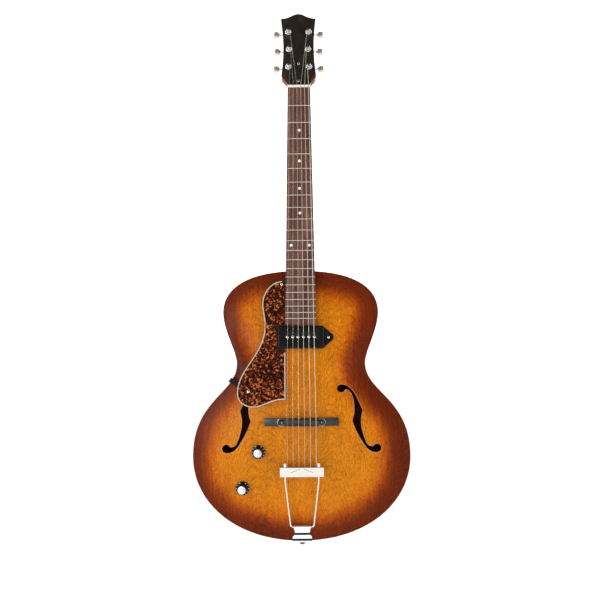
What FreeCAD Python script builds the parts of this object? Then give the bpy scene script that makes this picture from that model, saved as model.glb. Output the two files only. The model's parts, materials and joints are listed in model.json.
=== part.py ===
import FreeCAD, Part
import bisect
import math
import os
import Sketcher

V = FreeCAD.Vector

# Archtop guitar, left-handed, one magnetic pickup, trapeze tailpiece.
# Frame: +X to the viewer's right, -Y towards the viewer, +Z up the neck.
# The origin is the middle of the strap button's waist, below the tail.

# Driving sizes, in millimetres and degrees
SIZES = {
    # Body plan: widths, and their heights above the tail
    "body_length": 504.6,
    "lower_bout_width": 407.2,
    "lower_bout_place": 157.5,
    "waist_width": 240.6,
    "waist_place": 331,
    "upper_bout_width": 292,
    "upper_bout_place": 426.5,
    # Body depth, walls and arching
    "rim_depth": 68,
    "rim_thickness": 2.6,
    "plate_thickness": 4,
    "arch_rise": 18,
    "arch_centre": 262,
    "seat_gap": 0.05,
    "cut_overrun": 6,
    # Inside of the body
    "lining_width": 6,
    "lining_height": 13,
    "neck_block_width": 84,
    "neck_block_height": 52,
    "tail_block_width": 70,
    "tail_block_height": 22,
    "tone_bar_width": 8,
    "tone_bar_height": 12,
    "tone_bar_length": 330,
    "tone_bar_spread": 104,
    "tone_bar_place": 70,
    # Sound holes
    "f_hole_length": 127.2,
    "f_hole_spread": 208.8,
    "f_hole_place": 233.2,
    "upper_eye_diameter": 15.6,
    "lower_eye_diameter": 16.6,
    # Scale, neck set and strings
    "scale_length": 631,
    "bridge_place": 227.7,
    "bridge_height": 22.5,
    "neck_angle": 4,
    "string_height_nut": 1.5,
    "string_height_bridge": 5.1,
    "nut_string_spread": 36.6,
    "bridge_string_spread": 53,
    "plain_string_first": 0.3,
    "plain_string_second": 0.4,
    "plain_string_third": 0.52,
    "wound_string_fourth": 0.78,
    "wound_string_fifth": 1,
    "wound_string_sixth": 1.3,
    "string_bend": 3,
    "string_ball_diameter": 4,
    "wrap_space": 0.46,
    "wrap_start": 3.4,
    # Fretboard, frets and nut
    "fretboard_thickness": 6,
    "fretboard_radius": 406.4,
    "fretboard_overhang": 11.6,
    "nut_width": 43.4,
    "nut_length": 4.3,
    "nut_height": 2.5,
    "fretboard_end_width": 57.4,
    "fret_width": 2.4,
    "fret_height": 1,
    "fret_tang_width": 0.6,
    "fret_tang_depth": 1.6,
    "dot_diameter": 5.4,
    "dot_depth": 1.5,
    "double_dot_spread": 34,
    # Neck
    "neck_depth_nut": 14.5,
    "neck_depth_body": 17.5,
    "heel_depth": 78,
    "heel_run": 62,
    "tongue_inset": 3,
    "tenon_width": 32,
    "tenon_length": 20,
    "tenon_depth": 54,
    "truss_rod_width": 6,
    "truss_rod_depth": 6,
    "truss_rod_cover_wood": 4,
    "truss_nut_diameter": 6,
    "truss_nut_length": 9,
    "truss_nut_place": 15,
    "truss_pocket_length": 30,
    "truss_pocket_width": 11,
    # Headstock
    "head_angle": 13,
    "head_length": 166.2,
    "head_top_width": 69,
    "head_waist_width": 59.8,
    "head_low_width": 66,
    "head_thickness": 14,
    "face_thickness": 2,
    "cover_length": 49,
    "cover_place": 4,
    "cover_width": 24,
    "cover_tip_width": 13,
    "cover_thickness": 2,
    "cover_screw_inset": 5,
    "cover_screw_length": 5.5,
    # Tuners
    "tuner_first": 42.8,
    "tuner_step": 40.1,
    "tuner_spread": 40.4,
    "post_diameter": 6.2,
    "post_waist_diameter": 5.4,
    "post_height": 10.5,
    "post_waist_height": 6,
    "post_waist_start": 2.2,
    "running_gap": 0.05,
    "bushing_diameter": 9,
    "bushing_length": 9,
    "bushing_flange_diameter": 11.6,
    "bushing_flange_height": 1.5,
    "gear_teeth_diameter": 14.8,
    "gear_pitch_diameter": 13.6,
    "gear_root_diameter": 12,
    "gear_thickness": 3,
    "gear_tooth_width": 0.75,
    "gear_tip_width": 0.45,
    "worm_offset": 9,
    "worm_tip_diameter": 5.6,
    "worm_root_diameter": 2.8,
    "worm_thread_width": 0.6,
    "housing_width": 18,
    "housing_depth": 12,
    "housing_wall": 1.5,
    "housing_corner": 2.5,
    "cavity_gap": 0.4,
    "worm_depth": 5,
    "tab_length": 6,
    "tab_thickness": 2,
    "button_reach": 23.8,
    "button_length": 11.6,
    "button_width": 12.6,
    "button_thickness": 8,
    "button_corner": 2.6,
    "button_edge": 2.4,
    "collar_diameter": 5,
    "collar_length": 2.2,
    # Small wood screws
    "screw_head_diameter": 5,
    "screw_head_height": 1.6,
    "screw_shank_diameter": 2.4,
    "screw_length": 9,
    # Bridge
    "base_length": 138,
    "base_width": 15,
    "base_centre_length": 94,
    "base_height": 7,
    "base_end_height": 5.5,
    "bridge_setback": 5,
    "saddle_length": 98,
    "saddle_crown_length": 62,
    "saddle_width": 11.5,
    "saddle_front": 1.6,
    "saddle_end_drop": 5.6,
    "saddle_back_drop": 7,
    "saddle_front_drop": 2.2,
    "saddle_end_corner": 3,
    "saddle_string_gap": 0.3,
    "stud_spread": 74,
    "stud_diameter": 3.6,
    "stud_depth": 5,
    "stud_reach": 9,
    "wheel_diameter": 15.4,
    "wheel_thickness": 3,
    "wheel_gap": 1.2,
    "wheel_groove_diameter": 1.1,
    # Tailpiece
    "hinge_place": 27.8,
    "hinge_lift": 6,
    "tail_bar_width": 81.4,
    "tail_bar_height": 18.8,
    "tail_bar_depth": 9,
    "tail_bar_wall": 1.6,
    "tail_bar_place": 96.4,
    "tail_bar_edge": 1.2,
    "tail_string_hole": 2.6,
    "rod_diameter": 3.2,
    "rod_spread": 62,
    "rod_foot_spread": 43,
    "rod_pin_length": 13,
    "rod_bend": 4,
    "rod_shoulder_bend": 20,
    "rod_hole_gap": 0.1,
    "cap_nut_diameter": 6.6,
    "cap_nut_height": 7.5,
    "bracket_thickness": 2,
    "bracket_width": 36,
    "bracket_waist": 28,
    "bracket_waist_place": 17,
    "bracket_notch_height": 18,
    "bracket_reach": 62,
    "barrel_diameter": 6.4,
    "barrel_length": 31,
    "bracket_screw_spread": 36,
    "strap_waist_diameter": 8,
    "strap_waist": 8,
    "strap_head_diameter": 12.6,
    "strap_head_height": 6.5,
    "strap_screw_diameter": 4,
    "strap_screw_length": 20,
    # Pickup
    "pickup_place": 152.4,
    "pickup_length": 85,
    "pickup_width": 42,
    "pickup_wall": 2,
    "pickup_edge": 2.4,
    "pickup_below_strings": 3.3,
    "ear_length": 18,
    "ear_drop": 8,
    "ear_tip_width": 8,
    "ear_screw_inset": 9,
    "ear_screw_sink": 1.2,
    "pickup_depth": 24,
    "coil_length": 72,
    "coil_width": 30,
    "coil_height": 8,
    "coil_corner": 10,
    "coil_clearance": 0.4,
    "magnet_length": 66,
    "magnet_width": 11,
    "magnet_height": 3,
    "magnet_space": 5,
    "base_plate_length": 76,
    "base_plate_width": 33,
    "base_plate_thickness": 1.5,
    "pole_spread": 50,
    "pole_head_diameter": 4.8,
    "pole_head_height": 1.2,
    "pole_shank_diameter": 3.2,
    "pole_length": 20,
    "pole_slot_width": 0.8,
    "pole_slot_depth": 0.6,
    "pickup_hole_length": 78.6,
    "pickup_hole_width": 35.6,
    # Pickguard
    "guard_drop": 4,
    "guard_thickness": 3,
    "guard_binding": 1.6,
    "guard_width": 91,
    "guard_length": 233.8,
    "guard_place": 23.7,
    "guard_side_gap": 0.6,
    "guard_screw_inset": 6,
    "guard_arm_place": 72.5,
    "guard_arm_width": 8.4,
    "guard_arm_thickness": 3,
    "guard_arm_length": 44,
    "guard_leg_length": 46,
    "guard_post_diameter": 8,
    # Controls
    "volume_side": 80.3,
    "volume_drop": 60.5,
    "tone_side": 110.4,
    "tone_drop": 128.5,
    "knob_diameter": 26,
    "knob_skirt_height": 3.6,
    "knob_body_diameter": 19,
    "knob_height": 15,
    "knob_gap": 0.8,
    "knob_bore_depth": 4,
    "knob_bore_diameter": 16,
    "knob_top_diameter": 17.2,
    "knob_top_thickness": 1,
    "shaft_diameter": 6,
    "pot_diameter": 24,
    "pot_height": 10,
    "pot_gap": 0.3,
    "pot_sleeve_diameter": 9.4,
    "pot_nut_diameter": 13.6,
    "pot_nut_height": 2,
    # Output jack
    "jack_place": 78,
    "jack_bore": 6.5,
    "jack_sleeve_diameter": 9.4,
    "jack_inner_length": 10,
    "jack_plate_diameter": 19,
    "jack_plate_thickness": 1.4,
    "jack_nut_diameter": 13,
    "jack_nut_height": 2.6,
    "jack_shoulder_diameter": 14,
    "jack_shoulder_height": 3,
    "jack_seat_gap": 0.4,
    # Wiring
    "wire_diameter": 2.4,
    "wire_bend": 9,
    "wire_drop": 14,
}

# Counts
FRET_COUNT = 21
DOT_FRETS = (3, 5, 7, 9)
DOUBLE_DOT_FRET = 12
GEAR_TEETH = 18
WORM_TURNS = 4
POLE_COUNT = 6
STRING_COUNT = 6
PLAIN_COUNT = 3
PLAIN_TURNS = 3
WOUND_TURNS = 2
TURN_ARCS = 4
GAP_SAMPLES = 16
WHEEL_GROOVES = 30
ARCH_COLUMNS = 33
ARCH_ROWS = 41
RADIUS_SAMPLES = 48
SECTION_POINTS = 9
HEX_SIDES = 6

# Shares: handles and curves drawn by hand, each a part of the size that it follows
BOUT_HANDLE_SHARES = ((0.605, 0.55), (0.62, 0.327), (0.215, 0.36), (0.56, 0.72))
ARCH_RADIUS_POWER = 2.2
ARCH_EDGE_POWER = 1.6
HEEL_SHARES = ((1.0, 0.0), (0.8, 0.02), (0.55, 0.1), (0.33, 0.29), (0.15, 0.6), (0.0, 0.92), (-0.2, 1.2))
NECK_ROUND_POWER = 0.85
F_STEM_SHARES = {
    "outer_upper": ((-0.234, 0.455), (-0.131, 0.425), (-0.043, 0.331), (0.027, 0.198), (0.083, 0.073)),
    "outer_lower": ((0.083, 0.073), (0.059, -0.016), (0.055, -0.126), (0.101, -0.325), (0.171, -0.441),
                    (0.232, -0.45)),
    "inner_lower": ((0.286, -0.545), (0.171, -0.512), (0.074, -0.396), (-0.013, -0.245), (-0.083, -0.072)),
    "inner_upper": ((-0.083, -0.072), (-0.052, 0.031), (-0.05, 0.171), (-0.088, 0.314), (-0.163, 0.377),
                    (-0.193, 0.358)),
}
UPPER_EYE_SHARE = (-0.234, 0.394)
LOWER_EYE_SHARE = (0.286, -0.48)
HEAD_CREST_SHARES = ((1.0, 0.934), (0.72, 0.941), (0.5, 0.959), (0.3, 0.983), (0.14, 0.9965), (0.0, 1.0))
HEAD_WAIST_SHARE = 0.472
HEAD_LOW_SHARE = 0.18
WING_SHARES = ((0.97, 0.119), (0.82, 0.081), (0.65, 0.03))
FACE_WING_SHARES = ((0.79, 0.134), (0.655, 0.079), (0.62, 0.0))
POST_SHARES = (1.0, 0.918, 1.0)
GUARD_SHARES = ((0.078, 1.0), (0.352, 0.938), (0.456, 0.84), (0.414, 0.668), (0.474, 0.518), (0.766, 0.326),
                (0.957, 0.177), (0.93, 0.048), (0.692, 0.001), (0.341, 0.034), (0.0, 0.058))
BUTTON_SHARES = ((-1.0, -0.62), (-0.45, -1.0), (0.62, -1.0), (1.0, -0.7), (1.0, 0.7), (0.62, 1.0),
                 (-0.45, 1.0), (-1.0, 0.62))
SCREW_RIM_SHARE = 0.4
DOME_SHARES = ((1.0, 0.0), (0.94, 0.45), (0.72, 0.8), (0.38, 0.96), (0.0, 1.0))

FULL_TURN = 360


class Size(float):
    """A named size that also carries the sheet expression that gives it."""

    def __new__(cls, value, text):
        made = float.__new__(cls, value)
        made.text = text
        return made

    def __add__(self, other):
        return Size(float(self) + float(other), "(%s + %s)" % (self.text, expression(other)))

    def __radd__(self, other):
        return Size(float(other) + float(self), "(%s + %s)" % (expression(other), self.text))

    def __sub__(self, other):
        return Size(float(self) - float(other), "(%s - %s)" % (self.text, expression(other)))

    def __rsub__(self, other):
        return Size(float(other) - float(self), "(%s - %s)" % (expression(other), self.text))

    def __mul__(self, other):
        return Size(float(self) * float(other), "(%s * %s)" % (self.text, expression(other)))

    def __rmul__(self, other):
        return Size(float(other) * float(self), "(%s * %s)" % (expression(other), self.text))

    def __truediv__(self, other):
        return Size(float(self) / float(other), "(%s / %s)" % (self.text, expression(other)))

    def __neg__(self):
        return Size(-float(self), "(0 - %s)" % self.text)


def expression(value):
    return value.text if isinstance(value, Size) else repr(float(value))


class Sheet:
    """The driving sizes, read from the cells of the document's sheet."""


doc = FreeCAD.newDocument("archtop_guitar")
sheet = doc.addObject("Spreadsheet::Sheet", "Sizes")
for row, (alias, value) in enumerate(SIZES.items(), start=1):
    sheet.set("A%d" % row, alias)
    sheet.set("B%d" % row, str(value))
    sheet.setAlias("B%d" % row, alias)
doc.recompute()
size = Sheet()
for alias in SIZES:
    setattr(size, alias, Size(float(sheet.get(alias)), "Sizes." + alias))

nodes = {}


# Tools of the bench: sketches, pads, turned pieces, tubes and copies

def profile_sketch(body, plane_role, outline):
    """A closed polygon on one of the body's own planes, each corner bound to the sheet."""
    sketch = body.newObject("Sketcher::SketchObject", body.Name + "_outline")
    plane = [feature for feature in body.Origin.OriginFeatures if feature.Role == plane_role][0]
    sketch.AttachmentSupport = [(plane, "")]
    sketch.MapMode = "FlatFace"
    count = len(outline)
    corners = [V(float(across), float(up), 0) for across, up in outline]
    for index in range(count):
        sketch.addGeometry(Part.LineSegment(corners[index], corners[(index + 1) % count]), False)
    for index in range(count):
        sketch.addConstraint(Sketcher.Constraint("Coincident", index, 2, (index + 1) % count, 1))
    for index, (across, up) in enumerate(outline):
        for kind, length in (("DistanceX", across), ("DistanceY", up)):
            number = sketch.addConstraint(Sketcher.Constraint(kind, -1, 1, index, 1, float(length)))
            sketch.setExpression("Constraints[%d]" % number, expression(length))
    return sketch


def turned(label, outline):
    """A body turned about its own Z axis from an outline of (radius, height)."""
    body = doc.addObject("PartDesign::Body", label)
    body.Label = label
    sketch = profile_sketch(body, "XZ_Plane", outline)
    turn = body.newObject("PartDesign::Revolution", label + "_turning")
    turn.Profile = sketch
    turn.ReferenceAxis = (sketch, ["V_Axis"])
    turn.Angle = FULL_TURN
    doc.recompute()
    return body


def padded(label, plane_role, outline, thickness):
    """A body padded both ways from one of its own planes."""
    body = doc.addObject("PartDesign::Body", label)
    body.Label = label
    pad = body.newObject("PartDesign::Pad", label + "_pad")
    pad.Profile = profile_sketch(body, plane_role, outline)
    pad.SideType = "Symmetric"
    pad.setExpression("Length", expression(thickness))
    doc.recompute()
    return body


def keep(body, label, frame):
    """A finished body becomes a node of the part, at its place."""
    body.Label = label
    body.Placement = frame
    nodes[label] = body


def node(label, shapes, frame=None):
    """A node whose shape is worked out in code, one or more solids."""
    made = doc.addObject("Part::Feature", label)
    made.Label = label
    made.Shape = shapes[0] if len(shapes) == 1 else Part.makeCompound(shapes)
    made.Placement = frame or FreeCAD.Placement()
    nodes[label] = made


def placed(shape, frame):
    moved = shape.copy()
    moved.Placement = frame.multiply(moved.Placement)
    return moved


def at(x, y, z):
    return FreeCAD.Placement(V(x, y, z), FreeCAD.Rotation())


def facing(point, direction):
    """A frame at a point, with its Z axis along a direction."""
    return FreeCAD.Placement(point, FreeCAD.Rotation(V(0, 0, 1), direction))


def block(x_from, x_to, y_from, y_to, z_from, z_to):
    corner = V(min(x_from, x_to), min(y_from, y_to), min(z_from, z_to))
    return Part.makeBox(abs(x_to - x_from), abs(y_to - y_from), abs(z_to - z_from), corner)


def rod_of(diameter, start, end):
    run = end.sub(start)
    return Part.makeCylinder(diameter / 2, run.Length, start, run)


def curve(points):
    made = Part.BSplineCurve()
    made.interpolate(points)
    return made.toShape()


def depth_edges(shape):
    """The straight edges that run from front to back."""
    found = []
    for edge in shape.Edges:
        along = edge.tangentAt(edge.FirstParameter)
        if abs(along.y) > abs(along.x) + abs(along.z):
            found.append(edge)
    return found


def polygon_face(points):
    return Part.Face(Part.makePolygon(points + [points[0]]))


def bent_path(points, bends):
    """Straight runs joined by tangent arcs, one bend radius for each inner point."""
    edges = []
    start = points[0]
    for before, corner, after, bend in zip(points, points[1:], points[2:], bends):
        into = corner.sub(before).normalize()
        out = after.sub(corner).normalize()
        turn = into.getAngle(out)
        reach = bend * math.tan(turn / 2)
        first = corner.sub(V(into).multiply(reach))
        last = corner.add(V(out).multiply(reach))
        inward = V(out).sub(into).normalize()
        centre = corner.add(V(inward).multiply(bend / math.cos(turn / 2)))
        middle = centre.sub(V(inward).multiply(bend))
        edges.append(Part.LineSegment(start, first).toShape())
        edges.append(Part.Arc(first, middle, last).toShape())
        start = last
    edges.append(Part.LineSegment(start, points[-1]).toShape())
    return Part.Wire(edges)


def tube(path, diameter):
    first = path.OrderedEdges[0]
    start = first.valueAt(first.FirstParameter)
    heading = first.tangentAt(first.FirstParameter)
    ring = Part.Wire(Part.makeCircle(diameter / 2, start, heading))
    return path.makePipeShell([ring], True, False)


# Body plan and arching

tail_z = size.strap_waist / 2 + size.bracket_thickness + size.seat_gap
saddle_z = tail_z + size.bridge_place
edge_y = size.rim_depth / 2 + size.plate_thickness


def side_poles(inset):
    """The four cubic runs of one side of the plan, from the tail to the neck."""
    low = size.lower_bout_width / 2 - inset
    waist = size.waist_width / 2 - inset
    high = size.upper_bout_width / 2 - inset
    stations = ((0, inset), (low, size.lower_bout_place), (waist, size.waist_place),
                (high, size.upper_bout_place), (0, size.body_length - inset))
    runs = []
    for number, (start, end) in enumerate(zip(stations, stations[1:])):
        rise = end[1] - start[1]
        near, far = BOUT_HANDLE_SHARES[number]
        leave = (start[0], start[1] + near * rise)
        arrive = (end[0], end[1] - far * rise)
        if number == 0:
            leave = (near * low, start[1])
        if number == len(stations) - 2:
            arrive = (far * high, end[1])
        runs.append((start, leave, arrive, end))
    return runs


def run_point(poles, share):
    rest = 1 - share
    weights = (rest ** 3, 3 * rest ** 2 * share, 3 * rest * share ** 2, share ** 3)
    across = sum(weight * float(pole[0]) for weight, pole in zip(weights, poles))
    up = sum(weight * float(pole[1]) for weight, pole in zip(weights, poles))
    return across, up


def plan_face(inset, y):
    edges = []
    for side in (1, -1):
        for poles in side_poles(inset):
            run = Part.BezierCurve()
            run.setPoles([V(side * across, y, tail_z + up) for across, up in poles])
            edges.append(run.toShape())
    return Part.Face(Part.Wire(Part.__sortEdges__(edges)))


def plan_prism(inset, y_from, y_to):
    return plan_face(inset, y_from).extrude(V(0, y_to - y_from, 0))


plan_radii = []
for poles in side_poles(0):
    for step in range(RADIUS_SAMPLES):
        across, up = run_point(poles, step / RADIUS_SAMPLES)
        below = size.arch_centre - up
        plan_radii.append((math.atan2(across, below), math.hypot(across, below)))
plan_radii.append((math.pi, float(size.body_length - size.arch_centre)))


def plan_radius(angle):
    spot = bisect.bisect_left(plan_radii, (angle, 0))
    spot = min(max(spot, 1), len(plan_radii) - 1)
    (low_angle, low), (high_angle, high) = plan_radii[spot - 1], plan_radii[spot]
    return low + (high - low) * (angle - low_angle) / (high_angle - low_angle)


def swell(x, z):
    """The arch's share of its full rise, 1 at the crown and 0 from the edge outwards."""
    below = size.arch_centre - (z - tail_z)
    reach = math.hypot(x, below) / plan_radius(math.atan2(abs(x), below))
    return max(0.0, 1 - reach ** ARCH_RADIUS_POWER) ** ARCH_EDGE_POWER


def top_y(x, z):
    return -edge_y - size.arch_rise * swell(x, z)


def top_normal(x, z):
    step = size.plate_thickness
    slope_x = (top_y(x + step, z) - top_y(x - step, z)) / (2 * step)
    slope_z = (top_y(x, z + step) - top_y(x, z - step)) / (2 * step)
    return V(slope_x, -1, slope_z).normalize()


def arched_face(side):
    """The outer face of the front (side -1) or of the back (side 1)."""
    half = size.lower_bout_width / 2 + size.cut_overrun
    columns = []
    for column in range(ARCH_COLUMNS):
        x = half * (2 * column / (ARCH_COLUMNS - 1) - 1)
        points = []
        for row in range(ARCH_ROWS):
            rise = (size.body_length + 2 * size.cut_overrun) * row / (ARCH_ROWS - 1)
            z = tail_z - size.cut_overrun + rise
            points.append(V(x, -side * top_y(x, z), z))
        columns.append(points)
    surface = Part.BSplineSurface()
    surface.interpolate(columns)
    return surface.toShape()


front_face = arched_face(-1)
back_face = arched_face(1)
tool_depth = edge_y + size.arch_rise
behind_front = front_face.extrude(V(0, tool_depth, 0)).translated(V(0, -size.seat_gap, 0))
body_front = behind_front.common(plan_prism(-size.seat_gap, -tool_depth - size.cut_overrun, 0))
inner_front = front_face.translated(V(0, size.plate_thickness + size.seat_gap, 0))
above_inner = inner_front.extrude(V(0, -tool_depth, 0))
inner_wall = size.rim_thickness + size.seat_gap
lining_y = size.rim_depth / 2 - size.seat_gap

# Frames: neck, headstock, tailpiece

saddle_y = top_y(0, saddle_z - size.bridge_setback) - size.bridge_height
neck_tilt = FreeCAD.Rotation(V(1, 0, 0), -size.neck_angle)
neck_frame = FreeCAD.Placement(V(0, saddle_y + size.string_height_bridge, saddle_z), neck_tilt)
head_start = size.scale_length + size.nut_length
head_drop = size.fretboard_thickness - size.face_thickness
head_frame = neck_frame.multiply(
    FreeCAD.Placement(V(0, head_drop, head_start), FreeCAD.Rotation(V(1, 0, 0), -size.head_angle)))
head_back = size.face_thickness + size.head_thickness
hinge_z = tail_z + size.hinge_place
hinge_y = top_y(0, hinge_z) - size.hinge_lift
tail_slant = math.degrees(math.atan2(hinge_y - saddle_y, saddle_z - hinge_z))
tail_frame = FreeCAD.Placement(V(0, hinge_y, hinge_z), FreeCAD.Rotation(V(1, 0, 0), tail_slant))
joint_reach = (size.body_length - size.bridge_place) / math.cos(math.radians(size.neck_angle))
string_places = [number / (STRING_COUNT - 1) - 1 / 2 for number in range(STRING_COUNT)]
string_sizes = (size.plain_string_first, size.plain_string_second, size.plain_string_third,
                size.wound_string_fourth, size.wound_string_fifth, size.wound_string_sixth)


def fret_reach(number):
    return size.scale_length * 2 ** (-number / 12)


fretboard_end = fret_reach(FRET_COUNT) - size.fretboard_overhang


def board_half(reach):
    """Half the fretboard's width at a distance from the saddle."""
    share = (size.scale_length - reach) / (size.scale_length - fretboard_end)
    return (size.nut_width + (size.fretboard_end_width - size.nut_width) * share) / 2


def crown_drop(x):
    return x * x / (2 * size.fretboard_radius)


# Soundboard: arched plate with two f-holes, a pickup opening and control holes

def f_hole(side):
    centre_x = size.f_hole_spread / 2
    centre_z = tail_z + size.f_hole_place
    depth = -edge_y - size.arch_rise - size.cut_overrun

    def spot(share):
        return V(side * (centre_x + share[0] * size.f_hole_length), depth,
                 centre_z + share[1] * size.f_hole_length)

    runs = [[spot(share) for share in F_STEM_SHARES[name]]
            for name in ("outer_upper", "outer_lower", "inner_lower", "inner_upper")]
    edges = [curve(run) for run in runs]
    edges.insert(2, Part.LineSegment(runs[1][-1], runs[2][0]).toShape())
    edges.append(Part.LineSegment(runs[3][-1], runs[0][0]).toShape())
    through = V(0, tool_depth, 0)
    stem = Part.Face(Part.Wire(edges)).extrude(through)
    eyes = []
    for share, diameter in ((UPPER_EYE_SHARE, size.upper_eye_diameter),
                            (LOWER_EYE_SHARE, size.lower_eye_diameter)):
        eyes.append(Part.makeCylinder(diameter / 2, through.Length, spot(share), through))
    return stem.fuse(eyes)


controls = {
    "volume": V(-size.volume_side, 0, saddle_z - size.volume_drop),
    "tone": V(-size.tone_side, 0, saddle_z - size.tone_drop),
}
control_frames = {}
for name, spot in controls.items():
    on_top = V(spot.x, top_y(spot.x, spot.z), spot.z)
    control_frames[name] = facing(on_top, top_normal(spot.x, spot.z))

pickup_frame = neck_frame.multiply(at(0, 0, size.pickup_place))
pickup_height = size.string_height_nut + (size.string_height_bridge - size.string_height_nut) * (
    1 - size.pickup_place / size.scale_length)
cover_top = size.pickup_below_strings - pickup_height
ear_screw_x = size.pickup_length / 2 + size.ear_screw_inset


def screw_hole(frame, depth):
    hole = Part.makeCylinder(size.screw_shank_diameter / 2 + size.seat_gap, depth)
    return placed(hole, frame)


ear_frames = []
for side in (-1, 1):
    ear_frames.append(pickup_frame.multiply(
        facing(V(side * ear_screw_x, size.ear_drop, 0), V(0, -1, 0))))

soundboard = front_face.extrude(V(0, size.plate_thickness, 0))
soundboard = soundboard.common(plan_prism(0, -tool_depth - size.cut_overrun, 0))
pickup_hole = block(-size.pickup_hole_length / 2, size.pickup_hole_length / 2, 0, size.pickup_depth,
                    -size.pickup_hole_width / 2, size.pickup_hole_width / 2)
board_cuts = [f_hole(-1), f_hole(1), placed(pickup_hole, pickup_frame)]
for frame in control_frames.values():
    sleeve = Part.makeCylinder(size.pot_sleeve_diameter / 2 + size.seat_gap, 2 * size.pot_height,
                               V(0, 0, -size.pot_height))
    board_cuts.append(placed(sleeve, frame))
ear_holes = [screw_hole(frame.multiply(at(0, 0, -size.pickup_depth)), size.pickup_depth)
             for frame in ear_frames]
node("soundboard", [soundboard.cut(board_cuts + ear_holes)])

# Back: arched plate

back_plate = back_face.extrude(V(0, -size.plate_thickness, 0))
node("back_plate", [back_plate.common(plan_prism(0, 0, tool_depth + size.cut_overrun))])

# Ribs: two bent sides, with the neck's slot, the strap screw's hole and the jack's hole


def plan_spot(height):
    """The left side's point at a height above the tail, and the way out of the wood there."""
    for poles in side_poles(0):
        low, high = float(poles[0][1]), float(poles[3][1])
        if low <= height <= high:
            below, above = 0.0, 1.0
            for _ in range(RADIUS_SAMPLES):
                middle = (below + above) / 2
                if run_point(poles, middle)[1] < height:
                    below = middle
                else:
                    above = middle
            step = 1 / RADIUS_SAMPLES
            across, up = run_point(poles, below)
            ahead = run_point(poles, min(below + step, 1))
            behind = run_point(poles, max(below - step, 0))
            out = V(-(ahead[1] - behind[1]), 0, -(ahead[0] - behind[0])).normalize()
            return V(-across, 0, tail_z + up), out
    raise ValueError("height is not on the body")


arm_point, arm_out = plan_spot(size.bridge_place + size.guard_arm_place)
arm_inner = arm_point.sub(V(arm_out).multiply(size.guard_arm_length - size.guard_screw_inset))
under_guard = size.guard_drop + size.guard_thickness
guard_fall = math.tan(math.radians(size.neck_angle))


def guard_y(z):
    """The pickguard's under face, at a height in the part's frame."""
    at_saddle = neck_frame.Base.y + under_guard / math.cos(math.radians(size.neck_angle))
    return at_saddle + (z - saddle_z) * guard_fall


fit = size.seat_gap
arm_y = guard_y(arm_point.z) + fit
arm = size.guard_arm_thickness
side_way = V(0, 1, 0).cross(arm_out)
out_gap = 2 * fit
rib_screw_y = arm_y + size.guard_leg_length - size.guard_screw_inset
rib_screw_spot = V(arm_point).add(V(arm_out).multiply(out_gap + arm + fit)).add(V(0, rib_screw_y, 0))
rib_screw_frame = facing(rib_screw_spot, arm_out)
rib_screw_hole = screw_hole(rib_screw_frame.multiply(at(0, 0, -size.screw_length)), 2 * size.screw_length)
jack_point, jack_out = plan_spot(size.jack_place)
jack_frame = facing(jack_point, jack_out)
tenon_top = -lining_y
tenon_low = tenon_top + size.tenon_depth
body_top = tail_z + size.body_length
tenon_slot = block(-size.tenon_width / 2 - fit, size.tenon_width / 2 + fit, tenon_top - size.cut_overrun,
                   tenon_low + fit, body_top - size.tenon_length - fit, body_top + size.cut_overrun)
strap_hole = Part.makeCylinder(size.strap_screw_diameter / 2 + fit, 2 * size.strap_screw_length)
jack_hole = Part.makeCylinder(size.jack_sleeve_diameter / 2 + fit, 2 * size.jack_inner_length,
                              V(0, 0, -size.jack_inner_length))
jack_hole = placed(jack_hole, jack_frame)
tail_holes = [strap_hole]
for side in (-1, 1):
    tail_holes.append(screw_hole(facing(V(0, side * size.bracket_screw_spread / 2, 0), V(0, 0, 1)),
                                 tail_z + size.screw_length))
ring = plan_prism(0, -lining_y, lining_y).cut(plan_prism(size.rim_thickness, -edge_y, edge_y))
for label, side in (("treble_rib", -1), ("bass_rib", 1)):
    half = ring.common(block(0, side * size.lower_bout_width, -edge_y, edge_y,
                             0, body_top + size.cut_overrun))
    node(label, [half.cut(tail_holes + [tenon_slot, jack_hole, rib_screw_hole])])

# Blocks, linings and tone bars inside the body

inside = plan_prism(inner_wall, -lining_y, lining_y)
neck_block = block(-size.neck_block_width / 2, size.neck_block_width / 2, -edge_y, edge_y,
                   body_top - size.neck_block_height, body_top)
tail_block = block(-size.tail_block_width / 2, size.tail_block_width / 2, -edge_y, edge_y,
                   tail_z, tail_z + size.tail_block_height)
node("neck_block", [inside.common(neck_block).cut(tenon_slot)])
node("tail_block", [inside.common(tail_block).cut(tail_holes)])

lining_cuts = [plan_prism(inner_wall + size.lining_width, -edge_y, edge_y)]
for width, low, high in (
        (size.neck_block_width, body_top - size.neck_block_height, body_top),
        (size.tail_block_width, tail_z, tail_z + size.tail_block_height)):
    lining_cuts.append(block(-width / 2 - fit, width / 2 + fit, -edge_y, edge_y, low - fit, high + fit))
linings = []
for start, end in ((-lining_y, -lining_y + size.lining_height), (lining_y - size.lining_height, lining_y)):
    linings += plan_prism(inner_wall, start, end).cut(lining_cuts).Solids
node("kerfed_linings", [lining.cut(rib_screw_hole) for lining in linings])

tone_bars = []
for side in (-1, 1):
    bar_x = side * size.tone_bar_spread / 2
    bar_low = tail_z + size.tone_bar_place
    bar = block(bar_x - size.tone_bar_width / 2, bar_x + size.tone_bar_width / 2, -tool_depth,
                -edge_y + size.tone_bar_height, bar_low, bar_low + size.tone_bar_length)
    tone_bars.append(bar.cut([above_inner] + ear_holes))
node("tone_bars", tone_bars)

# Neck: shaft, heel, tenon, tongue over the body, and headstock


def neck_section(reach, half, depth):
    top = size.fretboard_thickness
    points = []
    for number in range(SECTION_POINTS):
        angle = math.pi * number / (SECTION_POINTS - 1)
        points.append(V(half * math.cos(angle), top + depth * math.sin(angle) ** NECK_ROUND_POWER, reach))
    return Part.Wire([curve(points), Part.LineSegment(points[-1], points[0]).toShape()])


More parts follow.
